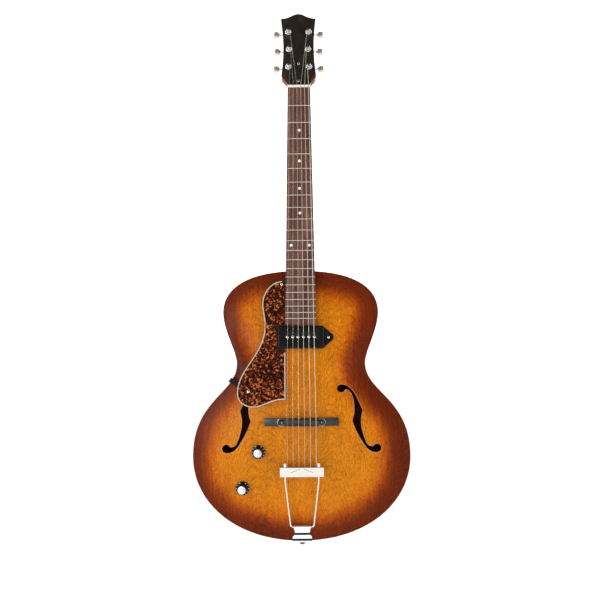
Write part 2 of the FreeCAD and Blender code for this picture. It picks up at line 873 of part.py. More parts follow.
def head_outline(wing_shares, depth):
    """The headstock's face: crest, drawn-in sides and lower wings."""
    half_top = size.head_top_width / 2
    half_low = size.head_low_width / 2
    half_waist = size.head_waist_width / 2
    span = size.head_length
    edges = []
    for side in (1, -1):
        crest = [V(side * half_top * across, depth, span * up) for across, up in HEAD_CREST_SHARES]
        low = V(side * half_low, depth, span * HEAD_LOW_SHARE)
        waist = V(side * half_waist, depth, span * HEAD_WAIST_SHARE)
        wing = [low] + [V(side * half_low * across, depth, span * up) for across, up in wing_shares]
        edges.append(curve(crest))
        edges.append(Part.Arc(crest[0], waist, low).toShape())
        edges.append(curve(wing))
    ends = [V(side * half_low * wing_shares[-1][0], depth, span * wing_shares[-1][1]) for side in (1, -1)]
    edges.append(Part.LineSegment(ends[0], ends[1]).toShape())
    return Part.Face(Part.Wire(Part.__sortEdges__(edges)))


tuner_places = []
for side in (-1, 1):
    for number, share in enumerate(POST_SHARES):
        tuner_places.append((side, side * share * size.tuner_spread / 2,
                             size.tuner_first + number * size.tuner_step))
# Strings run 1 to 6 from the treble side: three posts up the left, three down the right
tuner_places = tuner_places[:PLAIN_COUNT] + tuner_places[PLAIN_COUNT:][::-1]
tuner_frames = [head_frame.multiply(at(x, 0, up)) for _, x, up in tuner_places]

heel_start = joint_reach + size.heel_run
shaft = Part.makeLoft([
    neck_section(head_start, board_half(size.scale_length), size.neck_depth_nut),
    neck_section(heel_start, board_half(heel_start), size.neck_depth_body)], True, True)
heel_sections = []
for run_share, depth_share in HEEL_SHARES:
    heel_reach = joint_reach + run_share * size.heel_run
    heel_depth = size.neck_depth_body + depth_share * (size.heel_depth - size.neck_depth_body)
    heel_sections.append(neck_section(heel_reach, board_half(heel_reach), heel_depth))
heel = Part.makeLoft(heel_sections, True, False)
tongue_half = board_half(fretboard_end) - size.tongue_inset
tongue = block(-tongue_half, tongue_half, size.fretboard_thickness, tool_depth, fretboard_end,
               joint_reach + size.cut_overrun)
head_wood = head_outline(WING_SHARES, size.face_thickness).extrude(V(0, size.head_thickness, 0))
collar_half = size.head_low_width / 2 * WING_SHARES[-1][0]
collar_wood = block(-collar_half, collar_half, size.face_thickness, head_back, -size.cut_overrun,
                    size.head_length * HEAD_LOW_SHARE)
neck_wood = shaft.fuse(heel)
tongue_solid = placed(tongue, neck_frame).cut(behind_front)
body_hollow = plan_prism(-fit, -edge_y - fit, tool_depth + size.heel_depth)
seat_clear = block(-size.lower_bout_width, size.lower_bout_width, -tool_depth, size.fretboard_thickness,
                   -size.scale_length, head_start + fit)
neck = placed(neck_wood, neck_frame).fuse([placed(head_wood, head_frame), placed(collar_wood, head_frame)])
neck = neck.cut(body_hollow).cut(body_front)
tenon = block(-size.tenon_width / 2, size.tenon_width / 2, tenon_top, tenon_low, body_top - size.tenon_length,
              body_top + size.cut_overrun)
neck = neck.fuse([tongue_solid, tenon])
rod_top = size.fretboard_thickness + size.truss_rod_cover_wood
rod_end = head_start + size.truss_nut_place
rod_start = joint_reach + size.tenon_length
channel = block(-size.truss_rod_width / 2 - fit, size.truss_rod_width / 2 + fit, rod_top - fit,
                rod_top + size.truss_rod_depth + fit, rod_start - fit, rod_end + fit)
pocket_depth = rod_top + size.truss_rod_depth / 2 + size.truss_pocket_width / 2
pocket = block(-size.truss_pocket_width / 2, size.truss_pocket_width / 2, -tool_depth, pocket_depth,
               rod_end, rod_end + size.truss_pocket_length)
neck_cuts = [placed(seat_clear, neck_frame), placed(channel, neck_frame), placed(pocket, neck_frame)]
for frame in tuner_frames:
    for diameter, start, end in ((size.bushing_diameter, 0, size.bushing_length),
                                 (size.post_diameter, 0, head_back)):
        hole = Part.makeCylinder(diameter / 2 + fit, end - start + size.cut_overrun,
                                 V(0, start, 0), V(0, 1, 0))
        neck_cuts.append(placed(hole, frame))
    tab_drop = size.gear_teeth_diameter / 2 + size.housing_wall + size.tab_length / 2
    tab_screw = facing(V(0, head_back, -tab_drop), V(0, -1, 0))
    neck_cuts.append(screw_hole(frame.multiply(tab_screw), size.screw_length))
cover_screw_places = (size.cover_place + size.cover_screw_inset,
                      size.cover_place + size.cover_length - size.cover_screw_inset)
for up in cover_screw_places:
    cover_hole = facing(V(0, 0, up), V(0, 1, 0))
    neck_cuts.append(screw_hole(head_frame.multiply(cover_hole), size.cover_screw_length))
node("neck", [neck.cut(neck_cuts)])

# Headstock face: black veneer, with holes for the posts and the truss rod pocket

face = head_outline(FACE_WING_SHARES, 0).extrude(V(0, size.face_thickness - fit, 0))
face_cuts = [placed(room, head_frame.inverse().multiply(neck_frame)) for room in (pocket, seat_clear)]
for _, x, up in tuner_places:
    face_cuts.append(Part.makeCylinder(size.bushing_diameter / 2 + fit, size.bushing_length,
                                       V(x, -size.cut_overrun, up), V(0, 1, 0)))
for up in cover_screw_places:
    face_cuts.append(screw_hole(facing(V(0, -size.cut_overrun, up), V(0, 1, 0)), 2 * size.cut_overrun))
node("headstock_face", [face.cut(face_cuts)], head_frame)

# Truss rod, its nut, and the cover over its pocket

rod_bar = block(-size.truss_rod_width / 2, size.truss_rod_width / 2, rod_top, rod_top + size.truss_rod_depth,
                rod_start, rod_end)
rod_axis = rod_top + size.truss_rod_depth / 2
rod_nut = Part.makeCylinder(size.truss_nut_diameter / 2, size.truss_nut_length, V(0, rod_axis, rod_end))
node("truss_rod", [rod_bar.fuse(rod_nut).removeSplitter()], neck_frame)

cover_middle = size.cover_length / 2
cover = padded("cover_blank", "XZ_Plane", (
    (-size.cover_width / 2, -cover_middle), (size.cover_width / 2, -cover_middle),
    (size.cover_width / 2, -cover_middle / 2), (size.cover_tip_width / 2, cover_middle / 2),
    (size.cover_tip_width / 2, cover_middle), (-size.cover_tip_width / 2, cover_middle),
    (-size.cover_tip_width / 2, cover_middle / 2), (-size.cover_width / 2, -cover_middle / 2)),
    size.cover_thickness)
cover_lift = -size.cover_thickness / 2 - fit
cover_frame = at(0, cover_lift, size.cover_place + cover_middle)
cover_cuts = []
for up in cover_screw_places:
    cover_cuts.append(screw_hole(facing(V(0, -size.cut_overrun, up), V(0, 1, 0)), 2 * size.cut_overrun))
node("truss_rod_cover", [placed(cover.Shape, cover_frame).cut(cover_cuts)], head_frame)

# Wood screws: domed head over a plain shank, the head towards +Z

screw_radius = size.screw_shank_diameter / 2
screw_head = size.screw_head_diameter / 2


def screw_body(label, length):
    outline = [(0, -length), (screw_radius, -length), (screw_radius, 0), (screw_head, 0)]
    for across, up in DOME_SHARES:
        height_share = SCREW_RIM_SHARE + (1 - SCREW_RIM_SHARE) * up
        outline.append((screw_head * across, size.screw_head_height * height_share))
    return turned(label, outline)


wood_screw = screw_body("wood_screw", size.screw_length)
cover_screw = screw_body("cover_screw", size.cover_screw_length)


def driven(screw, frame, point, direction):
    """A screw with its head's seat at a point, the head standing towards a direction."""
    return placed(screw.Shape, frame.multiply(facing(point, direction)))


tab_low = size.gear_teeth_diameter / 2 + size.housing_wall + size.tab_length / 2
head_screws = [driven(cover_screw, head_frame, V(0, -size.cover_thickness - 2 * fit, up), V(0, -1, 0))
               for up in cover_screw_places]
for frame in tuner_frames:
    tab_spot = V(0, head_back + size.tab_thickness + 2 * fit, -tab_low)
    head_screws.append(driven(wood_screw, frame, tab_spot, V(0, 1, 0)))
node("headstock_screws", head_screws)

# Fretboard: tapered, crowned across, slotted for the frets and drilled for the dots

board = polygon_face([
    V(-board_half(fretboard_end), 0, fretboard_end), V(board_half(fretboard_end), 0, fretboard_end),
    V(board_half(size.scale_length), 0, size.scale_length),
    V(-board_half(size.scale_length), 0, size.scale_length)]).extrude(V(0, size.fretboard_thickness, 0))
crown = Part.makeCylinder(size.fretboard_radius, size.scale_length, V(0, size.fretboard_radius, 0))
board = board.common(crown)


def fret(number):
    """One fret: a domed bead on the crown of the board, with its tang in the slot."""
    reach = fret_reach(number)
    half = size.fret_width / 2
    tang = size.fret_tang_width / 2
    corners = [V(0, 0, reach - tang), V(0, size.fret_tang_depth, reach - tang),
               V(0, size.fret_tang_depth, reach + tang), V(0, 0, reach + tang), V(0, 0, reach + half)]
    edges = [Part.LineSegment(start, end).toShape() for start, end in zip(corners, corners[1:])]
    left = V(0, 0, reach - half)
    edges.append(Part.Arc(corners[-1], V(0, -size.fret_height, reach), left).toShape())
    edges.append(Part.LineSegment(left, corners[0]).toShape())
    centre = V(0, size.fretboard_radius, 0)
    sweep = math.degrees(math.asin(board_half(reach) / size.fretboard_radius))
    section = Part.Face(Part.Wire(edges))
    section.rotate(centre, V(0, 0, 1), -sweep)
    return section.revolve(centre, V(0, 0, 1), 2 * sweep)


frets = [fret(number) for number in range(1, FRET_COUNT + 1)]
dots = []
for number in DOT_FRETS + (DOUBLE_DOT_FRET,):
    reach = (fret_reach(number - 1) + fret_reach(number)) / 2
    sides = (-1, 1) if number == DOUBLE_DOT_FRET else (0,)
    for side in sides:
        dot = Part.makeCylinder(size.dot_diameter / 2, 2 * size.dot_depth,
                                V(side * size.double_dot_spread / 2, -size.dot_depth, reach), V(0, 1, 0))
        dots.append(dot)
slots = []
for number in range(1, FRET_COUNT + 1):
    half = size.fret_tang_width / 2 + fit
    slots.append(block(-size.fretboard_end_width, size.fretboard_end_width, -size.cut_overrun,
                       size.fret_tang_depth + crown_drop(size.fretboard_end_width / 2) + fit,
                       fret_reach(number) - half, fret_reach(number) + half))
node("fretboard", [board.cut(slots + dots)], neck_frame)
node("frets", frets, neck_frame)
node("fret_dots", [dot.common(crown) for dot in dots], neck_frame)

# Nut: bone block with six slots


def string_x(number, spread):
    return spread * string_places[number]


nut = block(-size.nut_width / 2, size.nut_width / 2, -size.nut_height, size.fretboard_thickness - fit,
            size.scale_length + fit, head_start - fit)
nut_slots = []
for number, gauge in enumerate(string_sizes):
    x = string_x(number, size.nut_string_spread)
    slot_half = gauge / 2 + 2 * fit
    nut_slots.append(block(x - slot_half, x + slot_half, -size.nut_height - size.cut_overrun,
                           crown_drop(x) - size.string_height_nut,
                           size.scale_length - size.cut_overrun, head_start + size.cut_overrun))
node("nut", [nut.cut(nut_slots)], neck_frame)

# Tuners: bushings, posts with gears, worm shafts with buttons, housings

post_radius = size.post_diameter / 2
post_waist = size.post_waist_diameter / 2
cap_floor = size.housing_depth - size.housing_wall
post_end = head_back + cap_floor - size.cavity_gap
waist_end = size.post_waist_start + size.post_waist_height
post = turned("post_blank", (
    (0, -post_end), (post_radius, -post_end), (post_radius, size.post_waist_start - size.fret_height),
    (post_waist, size.post_waist_start), (post_waist, waist_end), (post_radius, waist_end + size.fret_height),
    (post_radius, size.post_height - size.fret_height), (post_waist, size.post_height),
    (0, size.post_height)))
bore = post_radius + size.running_gap
tube_wall = size.bushing_diameter / 2
flange = size.bushing_flange_diameter / 2
bushing = turned("bushing_blank", (
    (bore, -size.bushing_length), (tube_wall, -size.bushing_length), (tube_wall, fit), (flange, fit),
    (flange, size.bushing_flange_height / 2), (tube_wall, size.bushing_flange_height),
    (bore, size.bushing_flange_height)))
toward_viewer = FreeCAD.Placement(V(0, 0, 0), FreeCAD.Rotation(V(0, 0, 1), V(0, -1, 0)))
node("tuner_bushings", [placed(bushing.Shape, frame.multiply(toward_viewer)) for frame in tuner_frames])

gear_middle = head_back + size.worm_depth


def gear_wheel():
    """The worm wheel: straight teeth, with a space facing the worm."""
    root, pitch, tip = (diameter / 2 for diameter in (
        size.gear_root_diameter, size.gear_pitch_diameter, size.gear_teeth_diameter))
    points = []
    for tooth in range(GEAR_TEETH):
        middle = math.pi / 2 + math.pi * (2 * tooth + 1) / GEAR_TEETH
        at_root = size.gear_tooth_width / root
        for radius, half in ((root, -at_root), (pitch, -size.gear_tooth_width / 2 / pitch),
                             (tip, -size.gear_tip_width / 2 / tip), (tip, size.gear_tip_width / 2 / tip),
                             (pitch, size.gear_tooth_width / 2 / pitch), (root, at_root)):
            points.append(V(radius * math.cos(middle + half), gear_middle - size.gear_thickness / 2,
                            radius * math.sin(middle + half)))
    wheel = polygon_face(points).extrude(V(0, size.gear_thickness, 0))
    return wheel.cut(Part.makeCylinder(post_radius, size.gear_thickness,
                                       V(0, gear_middle - size.gear_thickness / 2, 0), V(0, 1, 0)))


def worm():
    """A single right-hand thread on a round core, along Z, its middle at the origin."""
    pitch = math.pi * size.gear_pitch_diameter / GEAR_TEETH
    length = pitch * WORM_TURNS
    root = size.worm_root_diameter / 2
    tip = size.worm_tip_diameter / 2
    low = root - size.worm_thread_width / 2
    path = Part.makeHelix(pitch, length, root)
    half = size.worm_thread_width / 2
    section = Part.makePolygon([V(low, 0, -half), V(tip, 0, -half / 2), V(tip, 0, half / 2), V(low, 0, half),
                                V(low, 0, -half)])
    thread = Part.Wire(path).makePipeShell([section], True, True)
    return thread.translated(V(0, 0, -length / 2))


gear = gear_wheel()
thread = worm()
button_blank = padded("button_blank", "XZ_Plane", [
    (across * size.button_length / 2, up * size.button_width / 2) for across, up in BUTTON_SHARES],
    size.button_thickness)
button_shape = button_blank.Shape
button_shape = button_shape.makeFillet(size.button_corner / 2, depth_edges(button_shape))
rims = [edge for edge in button_shape.Edges
        if abs(abs(edge.CenterOfMass.y) - size.button_thickness / 2) < size.seat_gap]
button_shape = button_shape.makeFillet(size.button_edge, rims)
along_x = FreeCAD.Rotation(V(0, 1, 0), FULL_TURN / 4)
shaft_radius = size.worm_root_diameter / 2
worm_core_end = size.housing_width / 2 - size.housing_wall / 2
button_inner = size.button_reach - size.button_length / 2
housing_top = size.worm_offset + size.worm_tip_diameter / 2 + size.cavity_gap + size.housing_wall
housing_low = size.gear_teeth_diameter / 2 + size.housing_wall + size.cavity_gap


def worm_shaft(side):
    """The worm, its shaft and the button on the outer end, in the post's frame."""
    centre = V(0, gear_middle, size.worm_offset)
    core = Part.makeCylinder(shaft_radius, worm_core_end + button_inner + size.collar_length,
                             V(-side * worm_core_end, gear_middle, size.worm_offset), V(side, 0, 0))
    collar = Part.makeCylinder(size.collar_diameter / 2, size.collar_length + size.button_edge,
                               V(side * (button_inner - size.collar_length), gear_middle, size.worm_offset),
                               V(side, 0, 0))
    turned_thread = placed(thread, FreeCAD.Placement(centre, along_x))
    facing_out = FreeCAD.Rotation(V(0, 1, 0), 0 if side > 0 else FULL_TURN / 2)
    grip = placed(button_shape, FreeCAD.Placement(
        V(side * size.button_reach, gear_middle, size.worm_offset), facing_out))
    return core.fuse([turned_thread, collar, grip])


def housing(side):
    """The cap over the gear and worm, screwed to the back of the headstock."""
    half = size.housing_width / 2
    cap = block(-half, half, head_back + fit, head_back + size.housing_depth, -housing_low, housing_top)
    cap = cap.makeFillet(size.housing_corner, depth_edges(cap))
    tab = block(-size.tab_length / 2, size.tab_length / 2,
                head_back + fit, head_back + size.tab_thickness + fit,
                -housing_low - size.tab_length, -housing_low + size.housing_wall / 2)
    gear_room = Part.makeCylinder(size.gear_teeth_diameter / 2 + size.cavity_gap, cap_floor,
                                  V(0, head_back, 0), V(0, 1, 0))
    worm_half = worm_core_end - size.cavity_gap
    worm_space = size.worm_tip_diameter / 2 + size.cavity_gap
    worm_room = block(-worm_half, worm_half, head_back, gear_middle + worm_space,
                      size.worm_offset - worm_space, size.worm_offset + worm_space)
    way_end = worm_core_end + size.running_gap
    shaft_way = Part.makeCylinder(shaft_radius + size.running_gap, way_end + half,
                                  V(-side * way_end, gear_middle, size.worm_offset), V(side, 0, 0))
    screw_way = Part.makeCylinder(screw_radius + fit, size.housing_depth,
                                  V(0, head_back, -tab_low), V(0, 1, 0))
    return cap.fuse(tab).cut([gear_room, worm_room, shaft_way, screw_way])


shafts = {side: worm_shaft(side) for side in (-1, 1)}
caps = {side: housing(side) for side in (-1, 1)}
housings = []
for number, ((side, _, _), frame) in enumerate(zip(tuner_places, tuner_frames), start=1):
    housings.append(placed(caps[side], frame))
    node("tuner_button_%d" % number, [shafts[side]], frame)
    node("tuner_post_%d" % number, [placed(post.Shape, toward_viewer), gear], frame)
node("tuner_housings", housings)

# Strings: from the tailpiece over the saddle and the nut, and wound on to the posts


def wrap_start_point(number, gauge, nut_point):
    """Where the string meets its post, on the inner side, in the headstock's frame."""
    side, x, up = tuner_places[number]
    radius = post_waist + gauge / 2 + fit
    away = V(nut_point.x - x, 0, nut_point.z - up)
    lean = math.acos(radius / away.Length)
    heading = math.atan2(away.z, away.x)
    spots = []
    for sign in (-1, 1):
        angle = heading + sign * lean
        spots.append((abs(x + radius * math.cos(angle)), angle))
    return radius, min(spots)[1]


def plain_wraps(number, gauge, radius):
    """The plain band that stands for a thin string's turns about its post."""
    _, x, up = tuner_places[number]
    start = V(x, -size.wrap_start - gauge / 2 - fit, up)
    height = PLAIN_TURNS * (gauge + size.wrap_space)
    band = Part.makeCylinder(radius + gauge / 2, height, start, V(0, -1, 0))
    return band.cut(Part.makeCylinder(radius - gauge / 2, height, start, V(0, -1, 0)))


def winding(number, gauge, radius, angle):
    """Turns about the post as arcs of a quarter turn, and a straight cut end."""
    side, x, up = tuner_places[number]
    pitch = gauge + size.wrap_space
    sense = -side

    def spot(turn):
        place = angle + sense * 2 * math.pi * turn
        return V(x + radius * math.cos(place), -size.wrap_start - pitch * turn, up + radius * math.sin(place))

    edges = []
    for arc in range(TURN_ARCS * WOUND_TURNS + 1):
        places = [(arc + part) / TURN_ARCS for part in (0, 1 / 2, 1)]
        edges.append(Part.Arc(*[spot(place) for place in places]).toShape())
    last = edges[-1]
    end = last.valueAt(last.LastParameter)
    edges.append(Part.LineSegment(end, end.add(last.tangentAt(last.LastParameter).multiply(gauge))).toShape())
    gaps = []
    for sample in range(GAP_SAMPLES * WOUND_TURNS):
        turn = sample / GAP_SAMPLES
        gaps.append(spot(turn).distanceToPoint(spot(turn + 1)) - gauge)
    print("string %d: winding's least gap to itself %.3f mm" % (number + 1, min(gaps)))
    return tube(Part.Wire(edges), gauge)


def guitar_string(number, gauge):
    bridge_x = string_x(number, size.bridge_string_spread)
    nut_x = string_x(number, size.nut_string_spread)
    lift = gauge / 2 + 2 * fit
    on_saddle = V(bridge_x, saddle_y + crown_drop(bridge_x) - gauge / 2 - size.saddle_string_gap, saddle_z)
    on_nut = neck_frame.multVec(V(nut_x, crown_drop(nut_x) - size.string_height_nut - lift, head_start))
    inner_top = size.tail_bar_place + size.tail_bar_height - size.tail_bar_wall
    anchor = tail_frame.multVec(V(bridge_x, 0, inner_top - size.string_ball_diameter))
    nut_in_head = head_frame.inverse().multVec(on_nut)
    radius, angle = wrap_start_point(number, gauge, nut_in_head)
    side, x, up = tuner_places[number]
    meet = V(x + radius * math.cos(angle), -size.wrap_start, up + radius * math.sin(angle))
    route = [anchor, on_saddle, on_nut, head_frame.multVec(meet)]
    length = tube(bent_path(route, (size.string_bend, size.string_bend)), gauge)
    if number < PLAIN_COUNT:
        wraps = plain_wraps(number, gauge, radius)
    else:
        wraps = winding(number, gauge, radius, angle)
    ball = Part.makeSphere(size.string_ball_diameter / 2, anchor)
    return [length.fuse(ball), placed(wraps, head_frame)]


plain = []
wound = []
for number, gauge in enumerate(string_sizes):
    (plain if number < PLAIN_COUNT else wound).extend(guitar_string(number, gauge))
node("plain_strings", plain)
node("wound_strings", wound)

# Bridge: base carved to the arch, two studs, two thumbwheels and the saddle

bridge_z = saddle_z - size.bridge_setback
crown_y = top_y(0, bridge_z)
base_top = crown_y - size.base_height
end_top = top_y(size.base_length / 2, bridge_z) - size.base_end_height
half_base = size.base_length / 2
half_centre = size.base_centre_length / 2
base = polygon_face([
    V(-half_base, 0, 0), V(half_base, 0, 0), V(half_base, end_top, 0),
    V(half_centre + size.base_end_height, end_top, 0), V(half_centre, base_top, 0),
    V(-half_centre, base_top, 0),
    V(-half_centre - size.base_end_height, end_top, 0), V(-half_base, end_top, 0)])
base = base.extrude(V(0, 0, size.base_width)).translated(V(0, 0, bridge_z - size.base_width / 2))
base = base.cut(behind_front)
stud_spots = [V(side * size.stud_spread / 2, base_top, bridge_z) for side in (-1, 1)]
stud_holes = []
for spot in stud_spots:
    stud_holes.append(Part.makeCylinder(size.stud_diameter / 2 + fit, 2 * size.stud_depth,
                                        spot.add(V(0, size.stud_depth, 0)), V(0, -1, 0)))
node("bridge_base", [base.cut(stud_holes)])

stud_radius = size.stud_diameter / 2
stud = turned("stud_blank", (
    (0, -size.stud_depth), (stud_radius, -size.stud_depth),
    (stud_radius, size.stud_reach - stud_radius / 2), (stud_radius / 2, size.stud_reach),
    (0, size.stud_reach)))
node("bridge_studs", [placed(stud.Shape, facing(spot, V(0, -1, 0))) for spot in stud_spots])

wheel_low = size.wheel_gap
wheel_high = wheel_low + size.wheel_thickness
wheel_radius = size.wheel_diameter / 2
wheel_bore = stud_radius + size.running_gap
wheel_rim = wheel_radius - size.wheel_groove_diameter / 2
wheel = turned("wheel_blank", (
    (wheel_bore, wheel_low), (wheel_rim, wheel_low),
    (wheel_radius, wheel_low + size.wheel_groove_diameter / 2),
    (wheel_radius, wheel_high - size.wheel_groove_diameter / 2), (wheel_rim, wheel_high),
    (wheel_bore, wheel_high)))
grooves = []
for number in range(WHEEL_GROOVES):
    angle = 2 * math.pi * number / WHEEL_GROOVES
    grooves.append(Part.makeCylinder(
        size.wheel_groove_diameter / 2, wheel_high,
        V(wheel_radius * math.cos(angle), wheel_radius * math.sin(angle), 0)))
knurled = wheel.Shape.cut(grooves)
for label, spot in zip(("treble_thumbwheel", "bass_thumbwheel"), stud_spots):
    node(label, [knurled], facing(spot, V(0, -1, 0)))

saddle_low = base_top - wheel_high - fit
half_saddle = size.saddle_length / 2
half_crown = size.saddle_crown_length / 2
saddle_end_y = saddle_y + size.saddle_end_drop
ridge = [V(-half_crown, saddle_y + crown_drop(half_crown), 0), V(0, saddle_y, 0),
         V(half_crown, saddle_y + crown_drop(half_crown), 0)]
corners = [ridge[2], V(half_crown + size.saddle_end_corner, saddle_end_y, 0),
           V(half_saddle - size.saddle_end_corner, saddle_end_y, 0),
           V(half_saddle, saddle_end_y + size.saddle_end_corner, 0), V(half_saddle, saddle_low, 0),
           V(-half_saddle, saddle_low, 0), V(-half_saddle, saddle_end_y + size.saddle_end_corner, 0),
           V(-half_saddle + size.saddle_end_corner, saddle_end_y, 0),
           V(-half_crown - size.saddle_end_corner, saddle_end_y, 0), ridge[0]]
edges = [Part.Arc(*ridge).toShape()]
edges += [Part.LineSegment(start, end).toShape() for start, end in zip(corners, corners[1:])]
saddle_back = size.saddle_front - size.saddle_width
elevation = Part.Face(Part.Wire(edges)).extrude(V(0, 0, size.saddle_width))
elevation = elevation.translated(V(0, 0, saddle_z + saddle_back))
section = polygon_face([
    V(-half_saddle, saddle_low, saddle_z + size.saddle_front),
    V(-half_saddle, saddle_y + size.saddle_front_drop, saddle_z + size.saddle_front),
    V(-half_saddle, saddle_y, saddle_z + fit), V(-half_saddle, saddle_y, saddle_z - fit),
    V(-half_saddle, saddle_y + size.saddle_back_drop, saddle_z + saddle_back),
    V(-half_saddle, saddle_low, saddle_z + saddle_back)]).extrude(V(size.saddle_length, 0, 0))
saddle_holes = [Part.makeCylinder(stud_radius + 2 * size.rod_hole_gap, 2 * size.bridge_height,
                                  spot, V(0, -1, 0)) for spot in stud_spots]
node("bridge_saddle", [elevation.common(section).cut(saddle_holes)])

# Tailpiece: hollow bar, two rods, cap nuts, hinge bracket and strap button

bar_low = size.tail_bar_place
bar_high = bar_low + size.tail_bar_height
half_bar = size.tail_bar_width / 2
half_depth = size.tail_bar_depth / 2
wall = size.tail_bar_wall
bar = block(-half_bar, half_bar, -half_depth, half_depth, bar_low, bar_high)
front_edges = [edge for edge in bar.Edges if abs(edge.CenterOfMass.y + half_depth) < fit]
bar = bar.makeFillet(size.tail_bar_edge, front_edges)
bar_cuts = [block(-half_bar + wall, half_bar - wall, -half_depth + wall, half_depth + size.cut_overrun,
                  bar_low + wall, bar_high - wall)]
for number in range(len(string_sizes)):
    x = string_x(number, size.bridge_string_spread)
    bar_cuts.append(Part.makeCylinder(size.tail_string_hole / 2, 2 * size.cut_overrun,
                                      V(x, 0, bar_high - size.cut_overrun)))
rod_hole = size.rod_diameter / 2 + size.rod_hole_gap
for side in (-1, 1):
    bar_cuts.append(Part.makeCylinder(rod_hole, size.tail_bar_height + 2 * size.cut_overrun,
                                      V(side * size.rod_spread / 2, 0, bar_low - size.cut_overrun)))
node("tailpiece_bar", [bar.cut(bar_cuts)], tail_frame)

rods = []
cap_nut_radius = size.cap_nut_diameter / 2
cap_dome = size.cap_nut_height - cap_nut_radius
for side in (-1, 1):
    foot = side * size.rod_foot_spread / 2
    shoulder = side * size.rod_spread / 2
    route = [V(foot - side * size.rod_pin_length, 0, 0), V(foot, 0, 0),
             V(shoulder, 0, bar_low - size.tail_bar_depth), V(shoulder, 0, bar_high + cap_dome)]
    rods.append(tube(bent_path(route, (size.rod_bend, size.rod_shoulder_bend)), size.rod_diameter))
node("tailpiece_rods", rods, tail_frame)

cap_outline = [(size.rod_diameter / 2, 0), (cap_nut_radius, 0)]
cap_outline += [(cap_nut_radius * across, cap_dome + cap_nut_radius * up) for across, up in DOME_SHARES]
cap_outline += [(0, cap_dome), (size.rod_diameter / 2, cap_dome)]
cap_nut = turned("cap_nut_blank", cap_outline)
nut_places = [at(side * size.rod_spread / 2, 0, bar_high) for side in (-1, 1)]
node("tailpiece_nuts", [placed(cap_nut.Shape, place) for place in nut_places], tail_frame)

plate = size.bracket_thickness
inner_y = -edge_y - 2 * fit
outer_y = inner_y - plate
inner_z = tail_z - fit
outer_z = inner_z - plate
half_bracket = size.bracket_width / 2
hinge_face = hinge_y + size.hinge_lift - plate
corners = [V(-half_bracket, y, z) for y, z in (
    (inner_y, outer_z), (outer_y + size.bracket_reach, outer_z), (outer_y + size.bracket_reach, inner_z),
    (inner_y, inner_z), (inner_y, hinge_z), (hinge_face, hinge_z), (outer_y, inner_z))]
edges = [Part.LineSegment(start, end).toShape() for start, end in zip(corners, corners[1:])]
slant = plate * math.sin(math.pi / 4)
edges.append(Part.Arc(corners[-1], V(-half_bracket, inner_y - slant, inner_z - slant), corners[0]).toShape())
bracket = Part.Face(Part.Wire(edges)).extrude(V(size.bracket_width, 0, 0)).cut(body_front)
knuckle = rod_of(size.barrel_diameter, V(-size.barrel_length / 2, hinge_y, hinge_z),
                 V(size.barrel_length / 2, hinge_y, hinge_z))
leaf = block(-size.barrel_length / 2, size.barrel_length / 2, hinge_y, inner_y, hinge_z - plate,
             hinge_z + plate / 2)
leaf = leaf.cut(body_front)
pin_way = rod_of(size.rod_diameter + 2 * size.running_gap, V(-half_bracket, hinge_y, hinge_z),
                 V(half_bracket, hinge_y, hinge_z))
bracket_cuts = [pin_way]
notch_rise = size.bracket_notch_height / 2
notch_deep = (size.bracket_width - size.bracket_waist) / 2
notch_radius = (notch_rise ** 2 + notch_deep ** 2) / (2 * notch_deep)
for side in (-1, 1):
    centre = V(side * (size.bracket_waist / 2 + notch_radius), -tool_depth, tail_z + size.bracket_waist_place)
    bracket_cuts.append(Part.makeCylinder(notch_radius, tool_depth, centre, V(0, 1, 0)))
bracket_cuts += tail_holes
node("tailpiece_bracket", [bracket.fuse([knuckle, leaf]).cut(bracket_cuts)])
bracket_screws = []
for side in (-1, 1):
    spot = V(0, side * size.bracket_screw_spread / 2, outer_z - fit)
    bracket_screws.append(driven(wood_screw, at(0, 0, 0), spot, V(0, 0, -1)))
node("bracket_screws", bracket_screws)

strap_neck = size.strap_waist_diameter / 2
strap_head = size.strap_head_diameter / 2
strap_seat = -size.strap_waist / 2
strap_shank = size.strap_screw_diameter / 2
strap_tip = strap_seat - size.strap_screw_length
strap_outline = [(0, strap_tip), (strap_shank, strap_tip),
                 (strap_shank, strap_seat), (strap_head, strap_seat), (strap_neck, strap_seat / 2),
                 (strap_neck, -strap_seat / 2)]
strap_outline += [(strap_head * across, -strap_seat + size.strap_head_height * up)
                  for across, up in DOME_SHARES]
strap_button = turned("strap_button", strap_outline)
keep(strap_button, "strap_button", facing(V(0, 0, 0), V(0, 0, -1)))

# Pickup: dog-ear cover, coil, magnets, base plate and pole screws

half_long = size.pickup_length / 2
half_wide = size.pickup_width / 2
cover_box = block(-half_long, half_long, cover_top, size.pickup_depth, -half_wide, half_wide)
rounded = [edge for edge in cover_box.Edges if edge.CenterOfMass.y < size.pickup_depth - fit]
cover_box = cover_box.makeFillet(size.pickup_edge, rounded)
ears = []
for side in (-1, 1):
    tip = side * (half_long + size.ear_length)
    outline = [V(side * (half_long - size.pickup_wall), size.ear_drop, -half_wide),
               V(tip, size.ear_drop, -size.ear_tip_width / 2), V(tip, size.ear_drop, size.ear_tip_width / 2),
               V(side * (half_long - size.pickup_wall), size.ear_drop, half_wide)]
    ears.append(polygon_face(outline).extrude(V(0, size.pickup_depth - size.ear_drop, 0)))
hollow_long = half_long - size.pickup_wall
hollow_wide = half_wide - size.pickup_wall
cover_hollow = block(-hollow_long, hollow_long, cover_top + size.pickup_wall,
                     size.pickup_depth + size.cut_overrun, -hollow_wide, hollow_wide)
pole_places = [size.pole_spread * (number / (POLE_COUNT - 1) - 1 / 2) for number in range(POLE_COUNT)]
pickup_cuts = [cover_hollow, placed(behind_front, pickup_frame.inverse())]
